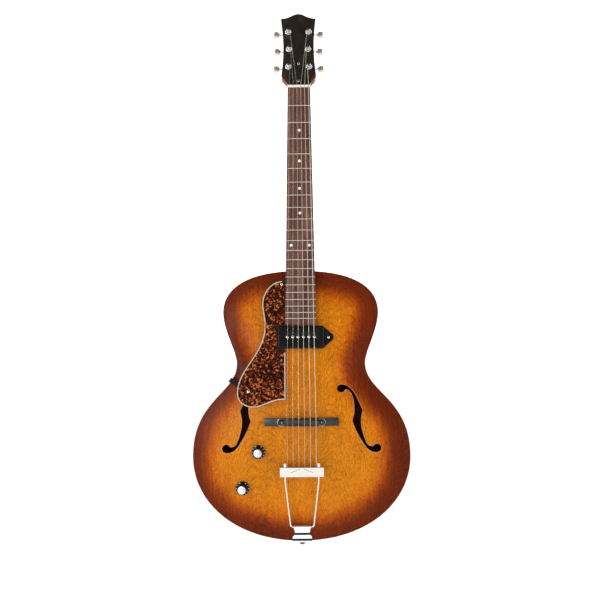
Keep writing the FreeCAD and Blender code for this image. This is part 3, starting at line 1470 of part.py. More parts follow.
for x in pole_places:
    pickup_cuts.append(Part.makeCylinder(size.pole_head_diameter / 2 + fit, size.pickup_depth,
                                         V(x, cover_top - size.cut_overrun, 0), V(0, 1, 0)))
for side in (-1, 1):
    pickup_cuts.append(screw_hole(facing(V(side * ear_screw_x, 0, 0), V(0, 1, 0)), size.pickup_depth))
    sink_start = V(side * ear_screw_x, size.ear_drop - size.cut_overrun, 0)
    pickup_cuts.append(Part.makeCylinder(size.screw_head_diameter / 2 + fit,
                                         size.ear_screw_sink + size.cut_overrun, sink_start, V(0, 1, 0)))
node("pickup_cover", [cover_box.fuse(ears).cut(pickup_cuts)], pickup_frame)

coil_top = cover_top + size.pickup_wall + size.coil_clearance
coil_low = coil_top + size.coil_height
magnet_low = coil_low + fit + size.magnet_height
coil = block(-size.coil_length / 2, size.coil_length / 2, coil_top, coil_low, -size.coil_width / 2,
             size.coil_width / 2)
coil = coil.makeFillet(size.coil_corner, depth_edges(coil))
shank_ways = []
for x in pole_places:
    shank_ways.append(Part.makeCylinder(size.pole_shank_diameter / 2 + fit, 2 * size.pickup_depth,
                                        V(x, -size.pickup_depth, 0), V(0, 1, 0)))
node("pickup_coil", [coil.cut(shank_ways)], pickup_frame)
magnets = []
for side in (-1, 1):
    near = side * size.magnet_space / 2
    magnets.append(block(-size.magnet_length / 2, size.magnet_length / 2, coil_low + fit, magnet_low,
                         near, near + side * size.magnet_width))
base_plate = block(-size.base_plate_length / 2, size.base_plate_length / 2, magnet_low + fit,
                   magnet_low + fit + size.base_plate_thickness, -size.base_plate_width / 2,
                   size.base_plate_width / 2)
node("pickup_magnets", magnets, pickup_frame)
node("pickup_base", [base_plate.cut(shank_ways)], pickup_frame)

pole_head = size.pole_head_diameter / 2
pole_shank = size.pole_shank_diameter / 2
under_head = size.pole_head_height + coil_top - cover_top - size.coil_clearance
pole = turned("pole_blank", (
    (0, -size.pole_length), (pole_shank, -size.pole_length), (pole_shank, -under_head),
    (pole_head, -under_head), (pole_head, -size.pole_slot_depth / 2), (pole_shank, 0), (0, 0)))
pole_slot = block(-size.pole_slot_width / 2, size.pole_slot_width / 2, -pole_head, pole_head,
                  -size.pole_slot_depth, size.cut_overrun)
slotted = pole.Shape.cut(pole_slot)
pole_lift = cover_top - size.pole_head_height
node("pickup_pole_screws", [placed(slotted, facing(V(x, pole_lift, 0), V(0, -1, 0))) for x in pole_places],
     pickup_frame)

# Pickguard: floating plate with a pale binding, on an arm from the rib and a post near the neck

guard_right = -board_half(fretboard_end) - size.guard_side_gap


def guard_spot(share):
    return V(guard_right - share[0] * size.guard_width, size.guard_drop,
             size.guard_place + share[1] * size.guard_length)


def guard_outline(inset):
    """The pickguard's face, drawn in by an inset all round."""
    line = curve([guard_spot(share) for share in GUARD_SHARES])
    points = []
    for share in GUARD_SHARES:
        spot = guard_spot(share)
        along = line.tangentAt(line.Curve.parameter(spot))
        points.append(spot.add(V(along.z, 0, -along.x).multiply(-inset)))
    points[0] = guard_spot(GUARD_SHARES[0]).add(V(0, 0, -inset))
    points[-1] = guard_spot(GUARD_SHARES[-1]).add(V(-inset, 0, inset))
    corner = guard_spot((0, 1)).add(V(-inset, 0, -inset))
    edges = [curve(points), Part.LineSegment(points[-1], corner).toShape(),
             Part.LineSegment(corner, points[0]).toShape()]
    return Part.Face(Part.Wire(edges))


guard_face = guard_outline(0)
plate_face = guard_outline(size.guard_binding)
guard_depth = V(0, size.guard_thickness, 0)
guard_whole = guard_face.extrude(guard_depth)
guard_plate = plate_face.extrude(guard_depth)
pickup_room = block(-half_long - size.guard_side_gap, 0, -size.pickup_depth, size.pickup_depth,
                    size.pickup_place - half_wide - size.guard_side_gap,
                    size.pickup_place + half_wide + size.guard_side_gap)
edge_gap = size.guard_side_gap + size.guard_binding
binding_room = block(-half_long - edge_gap, 0, -size.pickup_depth, size.pickup_depth,
                     size.pickup_place - half_wide - edge_gap, size.pickup_place + half_wide + edge_gap)
post_spot = neck_frame.multVec(V(guard_right - size.guard_screw_inset, under_guard,
                                 size.guard_place + size.guard_length - size.guard_screw_inset))
arm_spot = V(arm_inner.x, guard_y(arm_inner.z), arm_inner.z)
guard_normal = neck_frame.Rotation.multVec(V(0, -1, 0))
guard_screw_frames = [facing(spot, guard_normal) for spot in (arm_spot, post_spot)]
guard_holes = [screw_hole(frame.multiply(at(0, 0, -size.screw_length)), 2 * size.screw_length)
               for frame in guard_screw_frames]
inner_plate = guard_plate.cut(binding_room)
outer_edge = guard_whole.cut(pickup_room).cut(inner_plate)
guard_cuts = [placed(hole, neck_frame.inverse()) for hole in guard_holes]
node("pickguard", [inner_plate.cut(guard_cuts)], neck_frame)
node("pickguard_binding", [outer_edge.cut(guard_cuts)], neck_frame)

arm_corners = []
for outward, y in ((out_gap, arm_y + arm), (out_gap, arm_y + size.guard_leg_length),
                   (out_gap + arm, arm_y + size.guard_leg_length), (out_gap + arm, arm_y),
                   (-size.guard_arm_length, arm_y), (-size.guard_arm_length, arm_y + arm)):
    spot = V(arm_point).add(V(arm_out).multiply(outward)).add(V(side_way).multiply(-size.guard_arm_width / 2))
    arm_corners.append(V(spot.x, y, spot.z))
guard_arm = polygon_face(arm_corners).extrude(V(side_way).multiply(size.guard_arm_width))
guard_arm = guard_arm.cut(plan_prism(-fit, -edge_y, edge_y))
stand = rod_of(size.guard_post_diameter, V(post_spot).add(V(guard_normal).multiply(-fit)),
               V(post_spot).add(V(guard_normal).multiply(-2 * edge_y)))
stand = stand.cut(body_front)
stand = max(stand.Solids, key=lambda solid: -solid.CenterOfMass.y)
spacer_top = V(arm_spot).add(V(guard_normal).multiply(-fit))
spacer = rod_of(size.guard_arm_width, spacer_top, V(arm_spot.x, arm_y + arm / 2, arm_spot.z))
spacer = spacer.common(block(-size.lower_bout_width, 0, arm_y - size.bridge_height, arm_y + arm / 2,
                             0, size.body_length))
guard_arm = guard_arm.fuse(spacer).cut(guard_holes + [rib_screw_hole])
node("pickguard_bracket", [guard_arm, stand.cut(guard_holes)])

# Screws on the front: pickup ears and pickguard

ear_seat = at(0, 0, fit - size.ear_screw_sink)
top_screws = [placed(wood_screw.Shape, frame.multiply(ear_seat)) for frame in ear_frames]
for frame in guard_screw_frames:
    top_screws.append(placed(wood_screw.Shape, frame.multiply(at(0, 0, size.guard_thickness + fit))))
top_screws.append(placed(wood_screw.Shape, rib_screw_frame))
node("top_screws", top_screws)

# Controls: potentiometers under the top, shafts with bright tops, and skirted knobs

pots = []
sleeve = size.pot_sleeve_diameter / 2
shaft_bore = size.shaft_diameter / 2 + size.running_gap
pot_top = -size.plate_thickness - size.pot_gap
pot_low = pot_top - size.pot_height
shaft_low = pot_top - size.pot_height / 2
sleeve_top = size.pot_nut_height + size.knob_gap
pot = turned("pot_blank", (
    (0, pot_low), (size.pot_diameter / 2, pot_low), (size.pot_diameter / 2, pot_top), (sleeve, pot_top),
    (sleeve, sleeve_top), (shaft_bore, sleeve_top), (shaft_bore, shaft_low - size.running_gap),
    (0, shaft_low - size.running_gap)))
pot_nut = Part.Face(Part.makePolygon([
    V(size.pot_nut_diameter / 2 * math.cos(2 * math.pi * corner / HEX_SIDES),
      size.pot_nut_diameter / 2 * math.sin(2 * math.pi * corner / HEX_SIDES), fit)
    for corner in range(HEX_SIDES + 1)])).extrude(V(0, 0, size.pot_nut_height))
pot_nut = pot_nut.cut(Part.makeCylinder(sleeve + fit, size.pot_height))
skirt = size.knob_diameter / 2
body_radius = size.knob_body_diameter / 2
knob_low = size.knob_gap
knob_hollow = knob_low + size.knob_bore_depth
knob_high = knob_low + size.knob_height
shaft_radius_pot = size.shaft_diameter / 2
cap_floor_z = knob_high - size.knob_top_thickness
knob = (
    (size.knob_bore_diameter / 2, knob_low), (skirt, knob_low),
    (skirt, knob_low + size.knob_skirt_height / 2),
    (body_radius, knob_low + size.knob_skirt_height), (size.knob_top_diameter / 2, knob_high),
    (size.knob_top_diameter / 2 - size.knob_top_thickness, knob_high),
    (size.knob_top_diameter / 2 - size.knob_top_thickness, cap_floor_z), (shaft_radius_pot, cap_floor_z),
    (shaft_radius_pot, knob_hollow), (size.knob_bore_diameter / 2, knob_hollow))
for name, frame in control_frames.items():
    pots += [placed(pot.Shape, frame), placed(pot_nut, frame)]
    keep(turned(name + "_knob", knob), name + "_knob", frame)
    top_radius = size.knob_top_diameter / 2 - size.knob_top_thickness - fit
    keep(turned(name + "_shaft", (
        (0, shaft_low), (shaft_radius_pot, shaft_low), (shaft_radius_pot, cap_floor_z),
        (top_radius, cap_floor_z), (top_radius, knob_high), (0, knob_high))), name + "_shaft", frame)
node("pot_bodies", pots)

# Output jack: sleeve through the treble rib, with its plate and nut outside

jack_bore = size.jack_bore / 2
jack_sleeve = size.jack_sleeve_diameter / 2
wall_in = -size.rim_thickness - size.jack_seat_gap
shoulder_low = wall_in - size.jack_shoulder_height
plate_top = fit + size.jack_plate_thickness
nut_top = plate_top + size.jack_nut_height
jack = turned("jack_sleeve", (
    (jack_bore, -size.jack_inner_length), (jack_sleeve, -size.jack_inner_length), (jack_sleeve, shoulder_low),
    (size.jack_shoulder_diameter / 2, shoulder_low), (size.jack_shoulder_diameter / 2, wall_in),
    (jack_sleeve, wall_in), (jack_sleeve, nut_top), (jack_bore, nut_top)))
jack_washer = Part.makeCylinder(size.jack_plate_diameter / 2, size.jack_plate_thickness, V(0, 0, fit))
jack_nut = Part.makeCylinder(size.jack_nut_diameter / 2, size.jack_nut_height, V(0, 0, plate_top))
sleeve_way = Part.makeCylinder(jack_sleeve, nut_top)
outside = plan_prism(-fit, -edge_y, edge_y)
washer = placed(jack_washer.cut(sleeve_way), jack_frame).cut(outside)
shoulder = placed(jack.Shape, jack_frame)
node("output_jack", [shoulder, washer, placed(jack_nut.cut(sleeve_way), jack_frame)])

# Wiring: leads from the pickup to the controls and on to the jack

pot_spots = [frame.multVec(V(0, 0, pot_low - size.wire_diameter / 2)) for frame in control_frames.values()]
lead_low = magnet_low + size.base_plate_thickness + size.wire_diameter
pickup_foot = pickup_frame.multVec(V(-size.coil_length / 4, lead_low, 0))
jack_foot = jack_frame.multVec(V(0, 0, size.wire_diameter - size.jack_inner_length))
jack_foot = jack_foot.add(V(0, jack_sleeve + fit, 0))
leads = []
for start, end in ((pickup_foot, pot_spots[0]), (pot_spots[0], pot_spots[1]), (pot_spots[1], jack_foot)):
    low = max(start.y, end.y) + size.wire_drop
    first = V(start.x, low, start.z)
    last = V(end.x, low, end.z)
    leads.append(tube(bent_path([start, first, last, end], (size.wire_bend / 2, size.wire_bend / 2)),
                      size.wire_diameter))
node("wiring", leads)

# Check every object and every shape, then write the solids

doc.recompute()
for item in doc.Objects:
    if "Invalid" in item.State or "Error" in item.State:
        raise RuntimeError("%s: %s" % (item.Label, item.State))
for label, item in nodes.items():
    if item.Shape.isNull() or not item.Shape.isValid() or not item.Shape.Solids:
        raise RuntimeError("%s has no sound shape" % label)
os.makedirs("parts", exist_ok=True)
for label, item in nodes.items():
    item.Shape.exportStep(os.path.join("parts", label + ".step"))
print("%d nodes, %d solids" % (len(nodes), sum(len(item.Shape.Solids) for item in nodes.values())))
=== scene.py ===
import json
import math

import bmesh
import bpy
from mathutils import Matrix, Vector
from mathutils.bvhtree import BVHTree

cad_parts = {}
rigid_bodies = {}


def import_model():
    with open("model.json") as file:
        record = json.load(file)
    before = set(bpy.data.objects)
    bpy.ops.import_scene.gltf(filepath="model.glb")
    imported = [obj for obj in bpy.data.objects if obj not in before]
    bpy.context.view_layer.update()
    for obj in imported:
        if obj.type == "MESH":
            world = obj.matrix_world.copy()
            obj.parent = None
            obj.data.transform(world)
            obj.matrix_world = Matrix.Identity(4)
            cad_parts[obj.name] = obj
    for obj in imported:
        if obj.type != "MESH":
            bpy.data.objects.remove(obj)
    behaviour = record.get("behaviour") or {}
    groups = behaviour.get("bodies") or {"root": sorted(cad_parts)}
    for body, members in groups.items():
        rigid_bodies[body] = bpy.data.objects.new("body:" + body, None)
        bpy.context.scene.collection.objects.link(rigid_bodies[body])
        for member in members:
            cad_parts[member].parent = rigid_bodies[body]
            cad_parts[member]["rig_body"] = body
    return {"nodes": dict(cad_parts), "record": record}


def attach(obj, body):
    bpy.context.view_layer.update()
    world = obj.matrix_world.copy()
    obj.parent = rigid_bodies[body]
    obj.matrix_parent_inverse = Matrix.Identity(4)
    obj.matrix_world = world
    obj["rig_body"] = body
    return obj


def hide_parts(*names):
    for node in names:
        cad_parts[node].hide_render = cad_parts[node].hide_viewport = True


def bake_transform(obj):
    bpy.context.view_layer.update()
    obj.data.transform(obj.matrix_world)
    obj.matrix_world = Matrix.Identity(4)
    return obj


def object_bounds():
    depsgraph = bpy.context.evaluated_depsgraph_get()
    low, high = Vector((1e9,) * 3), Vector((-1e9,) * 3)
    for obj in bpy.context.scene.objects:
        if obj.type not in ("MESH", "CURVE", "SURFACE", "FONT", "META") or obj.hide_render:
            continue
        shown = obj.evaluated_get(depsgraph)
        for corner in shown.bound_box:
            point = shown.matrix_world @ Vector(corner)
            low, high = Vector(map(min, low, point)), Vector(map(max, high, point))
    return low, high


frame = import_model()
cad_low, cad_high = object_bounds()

# Camera: a short tele lens straight in front of the guitar, at the height of
# its middle, looking up by two degrees and rolled by half a degree.
camera_place = (-0.001, -1.578, 0.3997)
camera_tilt = math.radians(92.07265)
camera_roll = math.radians(-0.45)
bpy.ops.object.camera_add(location=camera_place)
camera = bpy.context.object
camera.name = "camera"
camera.rotation_mode = "ZYX"
camera.rotation_euler = (camera_tilt, 0, camera_roll)
camera.data.lens = 49.04
camera.data.sensor_width = 36
bpy.context.scene.camera = camera
bpy.context.scene.view_settings.view_transform = "Standard"
bpy.context.scene.view_settings.look = "None"


# Floor: a pale matt studio floor half a metre below the strap button, below the
# picture's edge, that throws light up and is lost in the white surround.
def new_finish(name):
    """A new material, its shader, and a way to add a node with its inputs set or joined."""
    material = bpy.data.materials.new(name)
    material.use_nodes = True
    tree = material.node_tree

    def add(kind, inputs, **settings):
        made = tree.nodes.new("ShaderNode" + kind)
        for key, value in settings.items():
            setattr(made, key, value)
        join(made, inputs)
        return made

    def join(made, inputs):
        for socket, value in inputs.items():
            if isinstance(value, bpy.types.NodeSocket):
                tree.links.new(value, made.inputs[socket])
            else:
                made.inputs[socket].default_value = value

    shader = tree.nodes["Principled BSDF"]
    return material, add, lambda **inputs: join(shader, {
        key.replace("_", " "): value for key, value in inputs.items()})


def ramp(add, factor, *stops):
    """A colour ramp through stops of (place, red, green, blue)."""
    made = add("ValToRGB", {0: factor})
    elements = made.color_ramp.elements
    while len(elements) < len(stops):
        elements.new(1)
    for element, (place, *colour) in zip(elements, stops):
        element.position = place
        element.color = (*colour, 1)
    return made.outputs["Color"]


def speckle(add, scale, stretch=(1, 1, 1), detail=3):
    """Noise on the piece's own place, drawn out along one way by a small stretch there."""
    place = add("TexCoord", {}).outputs["Object"]
    mapped = add("Mapping", {"Vector": place, "Scale": stretch}).outputs["Vector"]
    return add("TexNoise", {"Vector": mapped, "Scale": scale, "Detail": detail}).outputs["Fac"]


def grey_speckle(add, scale, low, high):
    """Speckle between two greys, for a roughness or a plain colour."""
    return ramp(add, speckle(add, scale), (0.3, low, low, low), (0.7, high, high, high))


floor_half = 30
floor_gap = 0.5
bpy.ops.object.select_all(action="DESELECT")
bpy.ops.mesh.primitive_plane_add(size=2 * floor_half, location=(0, 0, cad_low.z - floor_gap))
floor = bpy.context.object
floor.name = "floor"
floor_paint, add, shade = new_finish("floor_paint")
shade(Base_Color=grey_speckle(add, 3, 0.92, 0.95), Roughness=0.8)
floor.data.materials.append(floor_paint)

# Light: a white room that is grey behind the camera and dark above it, large soft
# boxes on both sides and behind, and a tall strip left of the camera for the sheen.
room_strength = 1.75
lamp_aim = Vector((0, 0, 0.4))
room = bpy.data.worlds.new("room")
bpy.context.scene.world = room
room.use_nodes = True
room_nodes = room.node_tree.nodes
room_links = room.node_tree.links
way = room_nodes.new("ShaderNodeTexCoord")
room_shade = room_nodes.new("ShaderNodeVectorMath")
room_shade.operation = "MULTIPLY"
for index, (facing, begins, ends, grey) in enumerate((
        ((0, -1, 0), 0.2, 0.72, 0.27),
        ((0, -0.42, 0.907), 0.77, 0.89, 0.06))):
    towards = room_nodes.new("ShaderNodeVectorMath")
    towards.operation = "DOT_PRODUCT"
    towards.inputs[1].default_value = facing
    room_links.new(way.outputs["Generated"], towards.inputs[0])
    fade = room_nodes.new("ShaderNodeValToRGB")
    fade.color_ramp.elements[0].position = begins
    fade.color_ramp.elements[0].color = (1, 1, 1, 1)
    fade.color_ramp.elements[1].position = ends
    fade.color_ramp.elements[1].color = (grey, grey, grey, 1)
    room_links.new(towards.outputs["Value"], fade.inputs["Fac"])
    room_links.new(fade.outputs["Color"], room_shade.inputs[index])
seen = room_nodes.new("ShaderNodeVectorMath")
seen.operation = "MAXIMUM"
room_links.new(room_shade.outputs["Vector"], seen.inputs[0])
room_links.new(room_nodes.new("ShaderNodeLightPath").outputs["Is Camera Ray"], seen.inputs[1])
room_links.new(seen.outputs["Vector"], room_nodes["Background"].inputs["Color"])
room_nodes["Background"].inputs["Strength"].default_value = room_strength

for label, place, width, height, watts in (
        ("key_light", (-1.7, -1.5, 1.3), 1.4, 1.4, 13),
        ("fill_light", (1.9, -1.4, 0.7), 1.2, 1.2, 9),
        ("strip_light", (-0.78, -1.9, 0.34), 0.22, 0.6, 7),
        ("back_light", (0.6, 1.8, 1.6), 1.6, 1.6, 14)):
    bpy.ops.object.light_add(type="AREA", location=place)
    lamp = bpy.context.object
    lamp.name = label
    lamp.data.shape = "RECTANGLE"
    lamp.data.size = width
    lamp.data.size_y = height
    lamp.data.energy = watts
    lamp.rotation_euler = (lamp_aim - Vector(place)).to_track_quat("-Z", "Y").to_euler()

# Soundboard: a plate of pressed cherry plywood, arched, stained in a burst from
# amber to dark red brown and sprayed with clear lacquer; the f-holes are sawn out.
weld_gap = 0.000005
flat_angle, eased_angle = math.radians(0.5), math.radians(40)
usual_smooth = 32


def dressed(node, finish, ease=0.0, smooth=usual_smooth, finer=0):
    """A merged copy of a solid's mesh, its edges eased or its faces cut finer, in place of the node."""
    solid = frame["nodes"][node]
    bpy.ops.object.select_all(action="DESELECT")
    piece = bpy.data.objects.new(node + ".finished", solid.data.copy())
    bpy.context.scene.collection.objects.link(piece)
    bpy.context.view_layer.objects.active = piece
    piece.select_set(True)
    if piece.data.has_custom_normals:
        bpy.ops.mesh.customdata_custom_splitnormals_clear()
    bpy.ops.object.mode_set(mode="EDIT")
    bpy.ops.mesh.select_all(action="SELECT")
    bpy.ops.mesh.remove_doubles(threshold=weld_gap)
    if ease:
        bpy.ops.mesh.dissolve_limited(angle_limit=flat_angle)
    if finer:
        bpy.ops.mesh.subdivide(number_cuts=finer)
    bpy.ops.object.mode_set(mode="OBJECT")
    if ease:
        edge = piece.modifiers.new("eased_edges", "BEVEL")
        edge.width = ease
        edge.segments = 2
        edge.limit_method = "ANGLE"
        edge.angle_limit = eased_angle
        bpy.ops.object.modifier_apply(modifier=edge.name)
    bpy.ops.object.shade_smooth_by_angle(angle=math.radians(smooth))
    piece.data.materials.clear()
    piece.data.materials.append(finish)
    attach(piece, solid["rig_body"])
    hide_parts(node)
    return piece


def rim_distance(piece):
    """Each point's distance in from the ribs, kept on the mesh as the way that the stain was sprayed."""
    corners, faces = [], []
    for rib in ("treble_rib", "bass_rib"):
        wall = frame["nodes"][rib].data
        faces += [[len(corners) + index for index in face.vertices] for face in wall.polygons]
        corners += [vertex.co for vertex in wall.vertices]
    ribs = BVHTree.FromPolygons(corners, faces)
    sprayed = piece.data.attributes.new("rim_distance", "FLOAT", "POINT")
    for vertex in piece.data.vertices:
        sprayed.data[vertex.index].value = ribs.find_nearest((vertex.co.x, 0, vertex.co.z))[3]


def burst_wood(name, shift, stops):
    """Lacquered cherry ply: pointed grain in columns, fibres, pores, and the burst from rim to middle."""
    material, add, shade = new_finish(name)
    column_half, column_side, arch, ring_rate = 0.075, 0.012, 65, 420
    burst_depth, burst_margin, burst_lean = 0.15, 0.002, -0.045

    def sums(operation, first, second, third=0):
        return add("Math", {0: first, 1: second, 2: third}, operation=operation).outputs[0]

    def varied(value, noise, amount):
        return sums("MULTIPLY_ADD", sums("SUBTRACT", noise, 0.5), amount, value)

    place = add("TexCoord", {}).outputs["Object"]
    parts = add("SeparateXYZ", {0: place}).outputs
    wander = speckle(add, 9, (1, 1, 0.45), 2)
    across = sums("ADD", sums("MULTIPLY_ADD", wander, 0.13, parts["X"]), shift)
    column = sums("SUBTRACT", sums("PINGPONG", across, column_half), column_side)
    rise = sums("MULTIPLY_ADD", sums("MULTIPLY", column, column), arch, parts["Z"])
    rise = sums("MULTIPLY_ADD", speckle(add, 24, (1, 1, 0.5)), 0.045, rise)
    rise = sums("MULTIPLY_ADD", speckle(add, 160, (1, 1, 0.4)), 0.008, rise)
    rings = sums("MULTIPLY_ADD", sums("SINE", sums("MULTIPLY", rise, ring_rate), 0), 0.5, 0.5)
    ring_lines = sums("POWER", rings, 4)
    fibre = speckle(add, 230, (1, 1, 0.12), 4)
    pores = speckle(add, 620, (1, 1, 0.45), 3)
    flame = speckle(add, 40, (1, 1, 0.4), 3)
    cloud = speckle(add, 14, (1, 1, 0.6), 2)
    rim = add("Attribute", {}, attribute_name="rim_distance").outputs["Fac"]
    lower_bout = add("Clamp", {0: sums("MULTIPLY_ADD", parts["Z"], -8, 3.2)}).outputs[0]
    sideways = sums("MULTIPLY", parts["X"], lower_bout)
    inwards = sums("MULTIPLY_ADD", sideways, burst_lean, sums("SUBTRACT", rim, burst_margin))
    spread = sums("MULTIPLY", varied(inwards, cloud, 0.03), 1 / burst_depth)
    stain = ramp(add, varied(spread, fibre, 0.06), *stops)
    tone = varied(varied(varied(1.07, fibre, 0.55), pores, 1.7), flame, 0.45)
    tone = sums("MULTIPLY_ADD", ring_lines, -0.22, tone)
    colour = add("VectorMath", {0: stain, "Scale": tone}, operation="SCALE").outputs[0]
    grain_bump = add("Bump", {"Strength": 0.05, "Distance": 0.0004, "Height": pores}).outputs[0]
    shade(Base_Color=colour, Roughness=sums("MULTIPLY_ADD", fibre, 0.12, 0.24),
          Normal=grain_bump, Specular_IOR_Level=0.075)
    return material


burst_top = burst_wood("burst_top", 0.02, (
    (0.0, 0.105, 0.013, 0.0012), (0.10, 0.135, 0.017, 0.0013), (0.17, 0.22, 0.034, 0.0015),
    (0.24, 0.37, 0.071, 0.002), (0.31, 0.49, 0.124, 0.003), (0.45, 0.54, 0.164, 0.004),
    (0.75, 0.50, 0.156, 0.005)))
soundboard = dressed("soundboard", burst_top, smooth=25, finer=2)
rim_distance(soundboard)

# Cut edges of the f-holes: bare ply, where the saw and a file broke the lacquer, drawn
# as a thin pale line around each hole; its paleness is partly the ply's own colour and partly a painted
# highlight of light catching the cut edge.
hole_inner_x, hole_outer_x = 0.07, 0.16
hole_low_z, hole_high_z = 0.16, 0.34
edge_line, sharp_turn, front_facing = 0.00028, 0.7, -0.75
bpy.ops.object.select_all(action="DESELECT")
soundboard.select_set(True)
bpy.context.view_layer.objects.active = soundboard
bpy.ops.object.mode_set(mode="EDIT")
bpy.ops.mesh.select_all(action="DESELECT")
bpy.ops.mesh.select_mode(type="EDGE")
board_mesh = bmesh.from_edit_mesh(soundboard.data)
for edge in board_mesh.edges:
    middle = (edge.verts[0].co + edge.verts[1].co) / 2
    if not edge.is_manifold or not (
            hole_inner_x < abs(middle.x) < hole_outer_x and hole_low_z < middle.z < hole_high_z):
        continue
    frontmost = min(face.normal.y for face in edge.link_faces)
    edge.select = edge.calc_face_angle() > sharp_turn and frontmost < front_facing
bmesh.update_edit_mesh(soundboard.data)
bpy.ops.mesh.duplicate()
bpy.ops.mesh.separate(type="SELECTED")
bpy.ops.object.mode_set(mode="OBJECT")
f_hole_edges = [item for item in bpy.context.selected_objects if item != soundboard][0]
bpy.ops.object.select_all(action="DESELECT")
f_hole_edges.select_set(True)
bpy.context.view_layer.objects.active = f_hole_edges
f_hole_edges.name = "f_hole_edges"
f_hole_edges.parent = None
for key in list(f_hole_edges.keys()):
    del f_hole_edges[key]
bpy.ops.object.convert(target="CURVE")
f_hole_edges.data.bevel_depth = edge_line
f_hole_edges.data.bevel_resolution = 1
bpy.ops.object.convert(target="MESH")
# Pale edge colour: the bare ply's own tone lightened into a painted highlight.
bare_ply_and_painted_highlight, add, shade = new_finish("bare_ply_and_painted_highlight")
shade(Base_Color=ramp(add, speckle(add, 400), (0.3, 0.52, 0.26, 0.10), (0.7, 0.70, 0.42, 0.22)),
      Roughness=0.5)
f_hole_edges.data.materials.clear()
f_hole_edges.data.materials.append(bare_ply_and_painted_highlight)
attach(f_hole_edges, "guitar")

# Back: a second arched plate of the same ply, glued to the rims, with a deeper
# brown burst and the same clear lacquer.
burst_back = burst_wood("burst_back", 0.047, (
    (0.0, 0.075, 0.010, 0.0012), (0.12, 0.10, 0.013, 0.0013), (0.22, 0.19, 0.030, 0.0018),
    (0.36, 0.31, 0.062, 0.003), (0.6, 0.41, 0.10, 0.004), (0.85, 0.44, 0.115, 0.005)))
back_plate = dressed("back_plate", burst_back, smooth=25, finer=2)
rim_distance(back_plate)

# Ribs: two bent strips of thin ply, glued round the blocks, stained the dark
# red brown of the burst's edge.
rim_stain, add, shade = new_finish("rim_stain")
rim_grain = speckle(add, 60, (0.08, 1, 0.08), 4)
shade(Base_Color=ramp(add, rim_grain, (0.25, 0.055, 0.009, 0.003), (0.6, 0.12, 0.021, 0.005),
                      (0.8, 0.17, 0.034, 0.007)),
      Roughness=0.28, Specular_IOR_Level=0.15)
for rib in ("treble_rib", "bass_rib"):
    dressed(rib, rim_stain)

# Inside of the body: kerfed linings, tone bars and the two end blocks, all of
# bare spruce, glued in before the back went on.
spruce, add, shade = new_finish("spruce")
year_rings = speckle(add, 420, (1, 0.3, 0.02), 2)
shade(Base_Color=ramp(add, year_rings, (0.3, 0.56, 0.36, 0.17), (0.55, 0.68, 0.48, 0.26),
                      (0.75, 0.45, 0.26, 0.11)),
      Roughness=0.7)
for piece in ("kerfed_linings", "tone_bars", "neck_block", "tail_block"):
    dressed(piece, spruce)

# Neck: shaft, heel, tongue and headstock core of one piece of stained mahogany,
# glued into the neck block by its tenon and lacquered.
neck_wood, add, shade = new_finish("neck_wood")
long_pores = speckle(add, 300, (1, 1, 0.03), 4)
shade(Base_Color=ramp(add, long_pores, (0.3, 0.045, 0.010, 0.004), (0.55, 0.115, 0.030, 0.010),
                      (0.8, 0.17, 0.05, 0.016)),
      Roughness=0.28, Specular_IOR_Level=0.15,
      Normal=add("Bump", {"Strength": 0.06, "Distance": 0.0003, "Height": long_pores}).outputs[0])
dressed("neck", neck_wood, smooth=28)

# Headstock face and truss rod cover: thin black plates, glued and screwed to
# the headstock's front and polished.
black_lacquer, add, shade = new_finish("black_lacquer")
haze = speckle(add, 90, (1, 1, 0.3), 4)
shade(Base_Color=ramp(add, haze, (0.3, 0.010, 0.007, 0.005), (0.7, 0.022, 0.016, 0.012)), Roughness=0.3,
      Coat_Weight=0.15, Coat_Roughness=0.12, Specular_IOR_Level=0.35)
dressed("headstock_face", black_lacquer, ease=0.0006)
dressed("truss_rod_cover", black_lacquer, ease=0.0004)

# Fretboard: a cambered board of open-pored rosewood, oiled, not lacquered, and
# glued on the neck and on the tongue over the body.
rosewood, add, shade = new_finish("rosewood")
stripe = speckle(add, 120, (1, 1, 0.025), 5)
open_pores = speckle(add, 900, (1, 1, 0.05), 2)
stripe_colour = ramp(add, stripe, (0.3, 0.075, 0.032, 0.024), (0.5, 0.13, 0.058, 0.043),
                     (0.7, 0.20, 0.095, 0.07))
pore_shade = ramp(add, open_pores, (0.32, 0.45, 0.45, 0.45), (0.45, 1, 1, 1))
board_colour = add("VectorMath", {0: stripe_colour, 1: pore_shade}, operation="MULTIPLY").outputs[0]
shade(Base_Color=board_colour, Roughness=0.5, Specular_IOR_Level=0.12,
      Normal=add("Bump", {"Strength": 0.15, "Distance": 0.0002, "Height": open_pores}).outputs[0])
dressed("fretboard", rosewood, ease=0.0003)

# Frets, position dots and nut: nickel silver wire pressed into sawn slots, discs
# of pearl let into the board, and a slotted bar of bone at its end.
fret_wire, add, shade = new_finish("fret_wire")
shade(Base_Color=(0.64, 0.59, 0.50, 1), Metallic=1,
      Roughness=grey_speckle(add, 700, 0.14, 0.26))
dressed("frets", fret_wire, smooth=50)
pearl, add, shade = new_finish("pearl")
layers = speckle(add, 260, (1, 1, 0.6), 4)
shade(Base_Color=ramp(add, layers, (0.3, 0.62, 0.64, 0.62), (0.5, 0.86, 0.84, 0.80), (0.7, 0.74, 0.80, 0.82)),
      Roughness=0.2, Coat_Weight=0.5)
dressed("fret_dots", pearl)
bone, add, shade = new_finish("bone")
shade(Base_Color=ramp(add, speckle(add, 500, (0.2, 1, 1)), (0.3, 0.78, 0.73, 0.62), (0.7, 0.88, 0.85, 0.76)),
      Roughness=0.35)
dressed("nut", bone, ease=0.0004)

